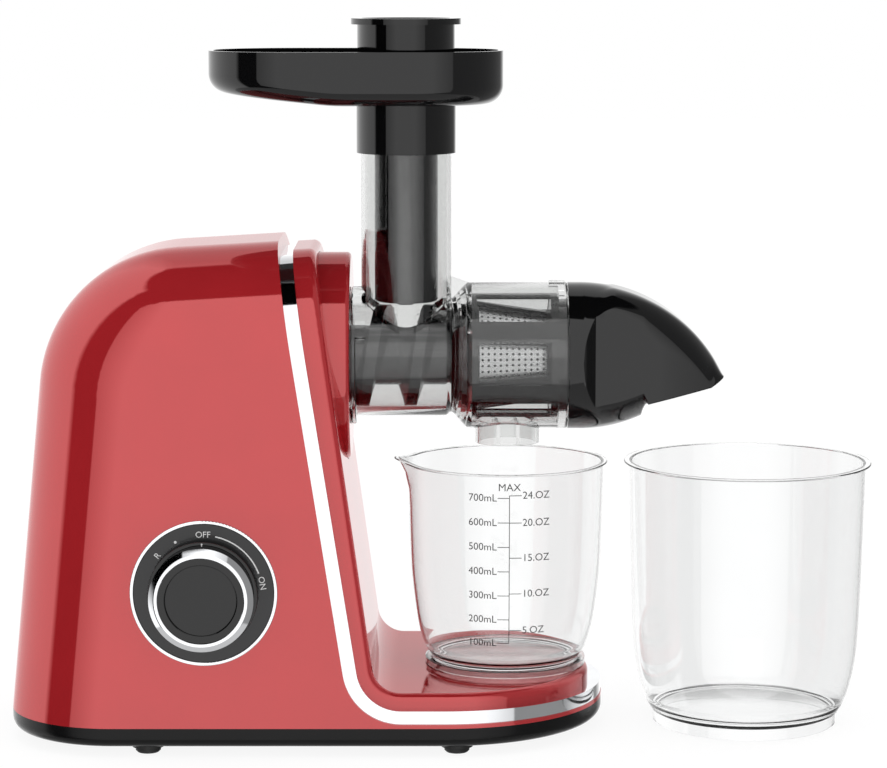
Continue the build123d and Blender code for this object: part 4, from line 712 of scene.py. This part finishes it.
def knob_pieces():
    """Black skirt with its pointer, bright bevelled bezel and black face with a shallow step."""
    front = (DIAL_FACE_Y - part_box("knob_ring")[0].y) / MM
    place = Vector((DIAL.x, DIAL_FACE_Y, DIAL.z))
    toward = (0, -1, 0)
    neck_end, bezel_rear = BEZEL_DEPTH - BEZEL_BACK - 0.1, BEZEL_DEPTH - BEZEL_BACK
    skirt = spun([
        (SKIRT_INNER, SKIRT_GAP), (SKIRT_RADIUS, SKIRT_GAP), (SKIRT_RADIUS, SKIRT_DEPTH - 0.5),
        (SKIRT_RADIUS - 0.2, SKIRT_DEPTH - 0.15), (SKIRT_RADIUS - 0.6, SKIRT_DEPTH),
        (NECK_RADIUS, SKIRT_DEPTH), (NECK_RADIUS, neck_end), (SKIRT_INNER, neck_end),
    ], place, toward, AXIS_Z)
    smooth_shaded(add_piece("knob_skirt", skirt, "knob", BLACK))
    bezel = spun([
        (SKIRT_INNER - 0.2, bezel_rear), (BEZEL_RADIUS - 0.3, bezel_rear),
        (BEZEL_RADIUS, bezel_rear + 0.3), (BEZEL_RADIUS, BEZEL_DEPTH), (RIM_RADIUS + 0.2, front - 0.3),
        (RIM_RADIUS, front - 0.15), (RIM_RADIUS - 0.3, front), (RIM_INNER + 0.2, front),
        (RIM_INNER, front - 0.2), (RIM_INNER, front - BEZEL_LIP + 1), (RIM_INNER - 1, front - BEZEL_LIP),
        (SKIRT_INNER - 0.2, front - BEZEL_LIP),
    ], place, toward, AXIS_Z)
    piece = smooth_shaded(add_piece("knob_bezel", bezel, "knob", CHROME), 20)
    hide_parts("knob_ring")
    brim = front - FACE_SINK
    face = spun([
        (0, brim - 0.2 - FACE_STEP), (FACE_STEP_RADIUS - 0.9, brim - 0.2 - FACE_STEP),
        (FACE_STEP_RADIUS - 0.2, brim - FACE_STEP), (FACE_STEP_RADIUS, brim - 0.4),
        (FACE_STEP_RADIUS + 0.4, brim - 0.1), (FACE_STEP_RADIUS + 1, brim),
        (RIM_INNER - FACE_GAP, brim), (RIM_INNER - FACE_GAP, brim - FACE_THICKNESS),
        (0, brim - FACE_THICKNESS),
    ], place, toward, AXIS_Z)
    piece = smooth_shaded(add_piece("knob_front", face, "knob", BLACK), 25)
    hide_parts("knob_face")
    pointer = bmesh.new()
    half = POINTER_WIDTH * MM / 2
    inner, outer = NECK_RADIUS * MM, (SKIRT_RADIUS - 0.7) * MM
    low, high = -(SKIRT_DEPTH - 0.1) * MM, -(SKIRT_DEPTH + 0.25) * MM
    tip = half * POINTER_TAPER
    plan = [(-half, outer), (half, outer), (tip, inner), (-tip, inner)]
    base = [pointer.verts.new(place + Vector((x, low, z))) for x, z in plan]
    top = [pointer.verts.new(place + Vector((x * 0.8, high, z))) for x, z in plan]
    pointer.faces.new(top)
    pointer.faces.new(base[::-1])
    for i in range(4):
        j = (i + 1) % 4
        pointer.faces.new([base[i], base[j], top[j], top[i]])
    bmesh.ops.recalc_face_normals(pointer, faces=pointer.faces)
    add_piece("knob_pointer", pointer, "knob", PRINT_WHITE)


knob_pieces()


# ---- Cups --------------------------------------------------------------------------
CUP_WALL, CUP_RIM = 1.4, 1.0
CUP_EDGE, RIM_EDGE = 0.4, 0.5  # chamfers
FLOOR_RISE, FLOOR_SINK = 0.9, 1.0  # of the cup's floor, from the foot of its wall
FLOOR_BEND, FLOOR_BEND_RISE = 10, 6  # where the inside turns from the floor into the wall
PLATFORM_Z = 32.3
JUICE_X = 33.6
JUICE_WALL = [
    (39.3, 36.3), (42.0, 39.6), (44.4, 44.0), (47.8, 56.8), (50.3, 75.0), (51.7, 94.0), (53.1, 142.9),
]
JUICE_RING, JUICE_RIM = 43.5, 55.0
PULP_X = 164.5
PULP_WALL = [
    (51.0, 7.0), (54.2, 12.5), (56.8, 20.0), (59.4, 32.0), (61.0, 47.2), (62.3, 81.0), (63.8, 142.4),
]
PULP_RING, PULP_RIM = 49.7, 66.7
LIP_REACH, LIP_HEIGHT, LIP_WIDTH, LIP_RISE = 5.0, 15.0, 0.17, 0.25
JUICE_WALL_LINE = smooth_line(JUICE_WALL)


def cup(x, foot_z, wall, standing, rim):
    """Clear turned cup: standing ring, thick floor, curved wall and a flanged rim."""
    outer = smooth_line(wall)
    wall_z, (top_r, top_z) = outer[0][1], outer[-1]
    floor_z, under_z, rim_z = wall_z + FLOOR_RISE, wall_z - FLOOR_SINK, top_z + CUP_RIM
    inner = [(r - CUP_WALL, z) for r, z in outer if z > floor_z + FLOOR_BEND_RISE]
    first_r, first_z = inner[0]
    bowl = []
    for i in range(8):
        a = math.pi / 2 * i / 8
        r = first_r - FLOOR_BEND * (1 - math.sin(a))
        bowl.append((r, floor_z + (first_z - floor_z) * (1 - math.cos(a))))
    profile = [(0, floor_z)] + bowl + inner
    profile += [
        (top_r - CUP_WALL, rim_z - CUP_EDGE), (top_r - CUP_WALL + CUP_EDGE, rim_z),
        (rim - RIM_EDGE, rim_z), (rim, rim_z - RIM_EDGE), (rim, top_z + CUP_EDGE), (rim - CUP_EDGE, top_z),
    ]
    profile += outer[::-1]
    profile += [
        (standing, wall_z - CUP_EDGE), (standing, foot_z + CUP_EDGE), (standing - CUP_EDGE, foot_z),
        (standing - CUP_WALL, foot_z), (standing - CUP_WALL, under_z), (0, under_z),
    ]
    return spun(profile, at(x, 0, 0), AXIS_Z, (-1, 0, 0), steps=160)


def pull_lip(solid, x, top_z):
    """Draws the rim out into a pouring lip on the side of the motor."""
    axis = at(x, 0, 0)
    for vertex in solid.verts:
        offset = vertex.co - axis
        up = (offset.z / MM - (top_z - LIP_HEIGHT)) / LIP_HEIGHT
        if up <= 0:
            continue
        turn = math.atan2(offset.y, -offset.x)
        reach = LIP_REACH * MM * up**2 * math.exp(-(turn / LIP_WIDTH) ** 2)
        vertex.co.x -= reach
        vertex.co.z += reach * LIP_RISE


def cups():
    solid = cup(JUICE_X, PLATFORM_Z, JUICE_WALL, JUICE_RING, JUICE_RIM)
    pull_lip(solid, JUICE_X, JUICE_WALL[-1][1])
    piece = smooth_shaded(add_piece("juice_cup_body", solid, "cup_juice", CLEAR))
    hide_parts("juice_cup")
    solid = cup(PULP_X, 0, PULP_WALL, PULP_RING, PULP_RIM)
    piece = smooth_shaded(add_piece("pulp_cup_body", solid, "cup_pulp", CLEAR))
    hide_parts("pulp_cup")


cups()


# ---- Strainer mesh ---------------------------------------------------------------
CELLS_ROUND = 54  # one window is six cells wide, one rib three
WINDOW_CELLS = 6
CELLS_ALONG = 11
WINDOW_FROM_END = (1.0, 2.4)  # solid rims at the mesh's two ends, in millimetres
HOLE_RADIUS = 0.72
SHEET = 0.4


def strainer_sheet():
    """Conical sheet with a grid of round holes behind each window of the cage."""
    low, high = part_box("strainer_mesh")
    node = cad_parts["strainer_mesh"]
    rear_radius = (high.y - low.y) / 2
    front = [v.co for v in node.data.vertices if v.co.x > high.x - 0.05 * MM]
    front_radius = max(math.hypot(co.y - DRIVE.y, co.z - DRIVE.z) for co in front)
    rear_x, front_x = low.x + WINDOW_FROM_END[0] * MM, high.x - WINDOW_FROM_END[1] * MM
    cell_angle = 2 * math.pi / CELLS_ROUND
    cell_length = (front_x - rear_x) / CELLS_ALONG
    start = math.radians(WINDOW_MIDDLE) - cell_angle * WINDOW_CELLS / 2
    sheet = bmesh.new()

    def radius_at(x):
        return rear_radius + (front_radius - rear_radius) * (x - low.x) / (high.x - low.x)

    def point(x, angle):
        radius = radius_at(x) - SHEET * MM / 2
        place = (x, DRIVE.y + radius * math.cos(angle), DRIVE.z + radius * math.sin(angle))
        return sheet.verts.new(place)

    corners = [(-1, -1), (0, -1), (1, -1), (1, 0), (1, 1), (0, 1), (-1, 1), (-1, 0)]
    for turn in range(CELLS_ROUND):
        angle = start + (turn + 0.5) * cell_angle
        pierced = turn % (WINDOW_CELLS + WINDOW_CELLS // 2) < WINDOW_CELLS
        for step in range(CELLS_ALONG):
            x = rear_x + (step + 0.5) * cell_length
            border = [point(x + i * cell_length / 2, angle + j * cell_angle / 2) for i, j in corners]
            if not pierced:
                sheet.faces.new(border)
                continue
            hole = []
            for i, j in corners:
                reach = HOLE_RADIUS * MM / math.hypot(i, j)
                hole.append(point(x + i * reach, angle + j * reach / radius_at(x)))
            for k in range(8):
                sheet.faces.new([border[k], border[(k + 1) % 8], hole[(k + 1) % 8], hole[k]])
        for x_low, x_high in ((low.x, rear_x), (front_x, high.x)):
            left, right = angle - cell_angle / 2, angle + cell_angle / 2
            sheet.faces.new([
                point(x_low, left), point(x_high, left), point(x_high, angle),
                point(x_high, right), point(x_low, right), point(x_low, angle),
            ])
    bmesh.ops.remove_doubles(sheet, verts=sheet.verts, dist=0.01 * MM)
    bmesh.ops.recalc_face_normals(sheet, faces=sheet.faces)
    piece = add_piece("strainer_sheet", sheet, "drum", SHEET_STEEL)
    thick = piece.modifiers.new("thickness", "SOLIDIFY")
    thick.thickness = SHEET * MM
    thick.offset = 0
    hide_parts("strainer_mesh")


strainer_sheet()


# ---- Print -----------------------------------------------------------------------
PRINT_LIFT = 0.06  # millimetres that print stands off its surface


def text_mesh(words, size, align="CENTER"):
    """Flat lettering as a mesh in its own XY plane, centred on its height."""
    curve = bpy.data.curves.new("words", "FONT")
    curve.body = words
    curve.size = size
    curve.align_x = align
    curve.align_y = "CENTER"
    curve.resolution_u = 4
    holder = bpy.data.objects.new("words", curve)
    bpy.context.scene.collection.objects.link(holder)
    bpy.context.view_layer.update()
    depsgraph = bpy.context.evaluated_depsgraph_get()
    mesh = bpy.data.meshes.new_from_object(holder.evaluated_get(depsgraph))
    bpy.data.objects.remove(holder)
    return mesh


def flat_strip(points, width):
    """Mesh of a thin flat strip that follows points in its own XY plane."""
    strip = bmesh.new()
    sides = []
    for i, spot in enumerate(points):
        before, after = points[max(i - 1, 0)], points[min(i + 1, len(points) - 1)]
        along = (Vector(after) - Vector(before)).normalized()
        across = Vector((-along.y, along.x)) * width / 2
        sides.append([strip.verts.new((*(Vector(spot) + s * across), 0)) for s in (-1, 1)])
    for (a, b), (c, d) in zip(sides, sides[1:]):
        strip.faces.new([a, c, d, b])
    return as_mesh("strip", strip)


# ---- Dial marks ------------------------------------------------------------------
# Angles are in degrees from the top, clockwise as the user sees the dial.
MARK_RADIUS, MARK_SIZE = 30.7, 4.5
ARC_RADIUS, ARC_WIDTH = 30.4, 0.7
ARC_FROM, ARC_TO = 12.0, 70.0
DOT_ANGLE, DOT_RADIUS = -28.0, 0.75
DIAL_WORDS = {"R": -50.0, "OFF": 0.0, "ON": 80.0}


def dial_print(name, mesh, angle=0.0, radius=0.0):
    """Puts a flat mesh from its XY plane onto the dial plate, facing the user, as a piece."""
    place = Vector((DIAL.x, DIAL_FACE_Y - PRINT_LIFT * MM, DIAL.z))
    turn = Matrix.Rotation(-math.radians(angle), 4, "Z")
    mesh.transform(turn @ Matrix.Translation((0, radius * MM, 0)))
    mesh.transform(Matrix.Translation(place) @ Matrix.Rotation(math.pi / 2, 4, "X"))
    add_piece(name, mesh, "motor_base", PRINT_WHITE)


def dial_marks():
    for words, angle in DIAL_WORDS.items():
        dial_print("dial_mark_" + words.lower(), text_mesh(words, MARK_SIZE * MM), angle, MARK_RADIUS)
    arc = arc_points(0, 0, ARC_RADIUS * MM, 90 - ARC_FROM, 90 - ARC_TO, 24)
    dial_print("dial_arc", flat_strip(arc, ARC_WIDTH * MM))
    dot = bmesh.new()
    bmesh.ops.create_circle(dot, cap_ends=True, radius=DOT_RADIUS * MM, segments=24)
    dial_print("dial_dot", as_mesh("dial_dot", dot), DOT_ANGLE, ARC_RADIUS)


dial_marks()


# ---- Scale of the juice cup ------------------------------------------------------
SCALE_OFFSET = 1.0  # millimetres from the cup's middle to the upright line
SCALE_LOW_Z, SCALE_STEP_Z, SCALE_TOP_Z = 52.6, 13.15, 132.9
MILLILITRES = range(100, 701, 100)
OUNCES = {5: 59.7, 10: 80.0, 15: 99.4, 20: 118.3, 24: 132.9}
TICK_LEFT, TICK_RIGHT, LINE_WIDTH = 6.2, 6.5, 0.4
SCALE_TEXT, TEXT_GAP, MAX_RISE = 5.6, 0.4, 4.2


def cup_radius(z):
    """Outer radius of the juice cup at a height, in metres."""
    for (low_r, low_z), (high_r, high_z) in zip(JUICE_WALL_LINE, JUICE_WALL_LINE[1:]):
        if low_z * MM <= z <= high_z * MM:
            return (low_r + (high_r - low_r) * (z / MM - low_z) / (high_z - low_z)) * MM
    return JUICE_WALL_LINE[-1][0] * MM


def onto_cup(mesh, x, z):
    """Bends a flat mesh round the cup's near side, with its origin x off the middle, at height z."""
    for vertex in mesh.vertices:
        height = z * MM + vertex.co.y
        radius = cup_radius(height) + PRINT_LIFT * MM
        angle = (x * MM + vertex.co.x) / radius
        bent = Vector((radius * math.sin(angle), -radius * math.cos(angle), height))
        vertex.co = at(JUICE_X, 0, 0) + bent


def cup_scale():
    """Millilitres on the left and ounces on the right of an upright line, as one mesh."""
    marks = bmesh.new()

    def add(mesh, x, z):
        onto_cup(mesh, x, z)
        marks.from_mesh(mesh)
        bpy.data.meshes.remove(mesh)

    def line(start, end, steps, z):
        points = [Vector(start).lerp(Vector(end), i / steps) * MM for i in range(steps + 1)]
        add(flat_strip(points, LINE_WIDTH * MM), SCALE_OFFSET, z)

    line((0, 0), (0, SCALE_TOP_Z - SCALE_LOW_Z), 40, SCALE_LOW_Z)
    for amount in MILLILITRES:
        z = SCALE_LOW_Z + (amount / 100 - 1) * SCALE_STEP_Z
        line((-TICK_LEFT, 0), (0, 0), 4, z)
        add(text_mesh(f"{amount}mL", SCALE_TEXT * MM, "RIGHT"), SCALE_OFFSET - TICK_LEFT - TEXT_GAP, z)
    for amount, z in OUNCES.items():
        line((0, 0), (TICK_RIGHT, 0), 4, z)
        add(text_mesh(f"{amount}.OZ", SCALE_TEXT * MM, "LEFT"), SCALE_OFFSET + TICK_RIGHT + TEXT_GAP, z)
    add(text_mesh("MAX", SCALE_TEXT * MM), SCALE_OFFSET, SCALE_TOP_Z + MAX_RISE)
    add_piece("cup_scale", marks, "cup_juice", PRINT_DARK)


cup_scale()


# ---- Studio ----------------------------------------------------------------------
FLOOR_SIZE, FLOOR_DROP = 14.0, 0.0004
FLOOR_COLOUR = (0.9, 0.9, 0.9, 1)
FLOOR_GLOW, GLOW_SHARE = 1.06, 0.85  # the floor's own light, and its share of what is seen
ROOM_LIGHT = 0.8  # even light from all round on matt surfaces
# The room as mirrors see it: directions are given by how far they lie off the user's side.
CARD_HALF_TURN = 51.0  # degrees, of the bright card in front of the machine
CARD_TOP, CARD_BOTTOM = 66.0, -40.0
CARD_EDGE = 0.6  # half width of its soft edge
CARD_FADE = (24.0, 62.0)  # the card grows dimmer towards its sides
SIDE_TURN = (78.0, 84.0)  # where the soft card on the left begins
BACK_TURN = (148.0, 165.0)  # where the white backdrop begins
CEILING = (0.905, 0.925)  # how steep a ray meets the dark ceiling
UNDERSIDE = (0.62, 0.65)  # and how steep a downward ray meets the light from below
CARD_LIGHT, CARD_DIMMING = 1.3, 0.6
BACK_LIGHT = (0.7, 1.15)  # of the backdrop, high up and level with the machine
BACK_LEVEL = (-0.6, -0.15)  # downward part of the rays between which it changes
UNDER_LIGHT = 0.6
LEFT_LIGHT, RIGHT_LIGHT = 1.2, 0.28
# What clear walls show: the room towards the user, and the backdrop away from them.
SEEN_SIDE_LIGHT = 0.12  # beside the backdrop
SEEN_BACKDROP = (0.05, 0.5)  # +Y part of the rays between which the backdrop comes up
SEEN_ROOM = (-0.1, 0.0)  # and between which the room gives way


def formula(tree, operation, first, second=0.0):
    """Math node on two values, each a number or another node's output."""
    return new_node(tree, "Math", {0: first, 1: second}, operation=operation)


def negative(tree, value):
    return formula(tree, "MULTIPLY", value, -1.0)


def ramp(tree, value, low, high):
    """Rises from 0 at low to 1 at high."""
    return new_node(tree, "MapRange", {"Value": value, "From Min": low, "From Max": high})


def laid_over(tree, below, light, share):
    """Light in place of what is below, where share is 1."""
    kept = formula(tree, "MULTIPLY", below, formula(tree, "SUBTRACT", 1.0, share))
    return formula(tree, "ADD", kept, formula(tree, "MULTIPLY", share, light))


def choose(tree, share, first, second):
    """Mix of two shaders."""
    return new_node(tree, "MixShader", {"Fac": share, 1: first, 2: second})


def mirrored_room(tree, right_part, away, up):
    """Radiance of the studio by direction, for what the gloss reflects."""
    degrees = 180 / math.pi
    front = negative(tree, away)
    turn = formula(tree, "MULTIPLY", formula(tree, "ARCTAN2", right_part, front), degrees)
    rise = formula(tree, "MULTIPLY", formula(tree, "ARCTAN2", up, front), degrees)
    off = formula(tree, "ABSOLUTE", turn)
    left = formula(tree, "LESS_THAN", turn, 0.0)
    side = formula(tree, "MULTIPLY", left, ramp(tree, off, *SIDE_TURN))
    right = formula(tree, "MULTIPLY", formula(tree, "SUBTRACT", 1.0, left), RIGHT_LIGHT)
    light = laid_over(tree, right, LEFT_LIGHT, side)
    down = negative(tree, up)
    low, high = BACK_LIGHT
    level = formula(tree, "MULTIPLY", ramp(tree, down, *BACK_LEVEL), high - low)
    light = laid_over(tree, light, formula(tree, "ADD", level, low), ramp(tree, off, *BACK_TURN))
    light = laid_over(tree, light, UNDER_LIGHT, ramp(tree, down, *UNDERSIDE))

    def past(value, limit):
        return ramp(tree, value, limit - CARD_EDGE, limit + CARD_EDGE)

    near = past(negative(tree, off), -CARD_HALF_TURN)
    above, below = past(rise, CARD_BOTTOM), past(negative(tree, rise), -CARD_TOP)
    card = formula(tree, "MULTIPLY", near, formula(tree, "MULTIPLY", above, below))
    dimmer = formula(tree, "MULTIPLY", ramp(tree, off, *CARD_FADE), -CARD_DIMMING * CARD_LIGHT)
    light = laid_over(tree, light, 0.0, ramp(tree, up, *CEILING))
    return laid_over(tree, light, formula(tree, "ADD", dimmer, CARD_LIGHT), card)


def make_world():
    """Even light, white behind the object, and the studio's cards in reflections."""
    world = bpy.data.worlds.new("studio")
    bpy.context.scene.world = world
    world.use_nodes = True
    tree = world.node_tree
    tree.nodes.clear()
    rays = tree.nodes.new("ShaderNodeLightPath").outputs
    parts = tree.nodes.new("ShaderNodeSeparateXYZ")
    put(tree, parts.inputs["Vector"], new_node(tree, "TexCoord", {}, "Generated"))
    right, away, up = parts.outputs

    def background(light):
        colour = (light, light, light, 1) if isinstance(light, float) else light
        return new_node(tree, "Background", {"Color": colour})

    room = mirrored_room(tree, right, away, up)
    backdrop = laid_over(tree, SEEN_SIDE_LIGHT, 1.0, ramp(tree, away, *SEEN_BACKDROP))
    through = background(laid_over(tree, room, backdrop, ramp(tree, away, *SEEN_ROOM)))
    shader = choose(tree, rays["Is Glossy Ray"], background(ROOM_LIGHT), background(room))
    shader = choose(tree, rays["Is Transmission Ray"], shader, through)
    shader = choose(tree, rays["Is Camera Ray"], shader, background(1.0))
    put(tree, tree.nodes.new("ShaderNodeOutputWorld").inputs["Surface"], shader)


def make_floor():
    """White floor that keeps a soft shadow and is left out of reflections."""
    bpy.ops.mesh.primitive_plane_add(size=FLOOR_SIZE, location=(0, 0, -FLOOR_DROP))
    floor = bpy.context.object
    floor.name = "floor"
    material = bpy.data.materials.new("floor_white")
    material.use_nodes = True
    tree = material.node_tree
    tree.nodes.clear()
    rays = tree.nodes.new("ShaderNodeLightPath").outputs
    matt = new_node(tree, "BsdfDiffuse", {"Color": FLOOR_COLOUR})
    lit = choose(tree, GLOW_SHARE, matt, new_node(tree, "Emission", {"Strength": FLOOR_GLOW}))
    shader = choose(tree, rays["Is Diffuse Ray"], lit, matt)
    shader = choose(tree, rays["Is Glossy Ray"], shader, new_node(tree, "BsdfTransparent", {}))
    put(tree, tree.nodes.new("ShaderNodeOutputMaterial").inputs["Surface"], shader)
    floor.data.materials.append(material)


def softbox(name, place, aim, size, radiance):
    """Rectangular lamp of a given radiance, facing a point, and kept out of reflections."""
    data = bpy.data.lights.new(name, "AREA")
    data.shape = "RECTANGLE"
    data.size, data.size_y = size
    data.energy = radiance * math.pi * size[0] * size[1]
    lamp = bpy.data.objects.new(name, data)
    bpy.context.scene.collection.objects.link(lamp)
    lamp.visible_glossy = False
    lamp.location = place
    lamp.rotation_euler = (Vector(aim) - Vector(place)).to_track_quat("-Z", "Y").to_euler()


def make_studio():
    make_world()
    make_floor()
    target = (0, MID_Y, 0.2)
    softbox("front_lamp", (-0.3, -2.4, 1.0), target, (1.4, 1.4), 0.9)
    softbox("top_lamp", (0.1, -0.2, 1.9), target, (1.6, 1.2), 1.0)


make_studio()
bpy.context.scene.view_settings.view_transform = "Standard"
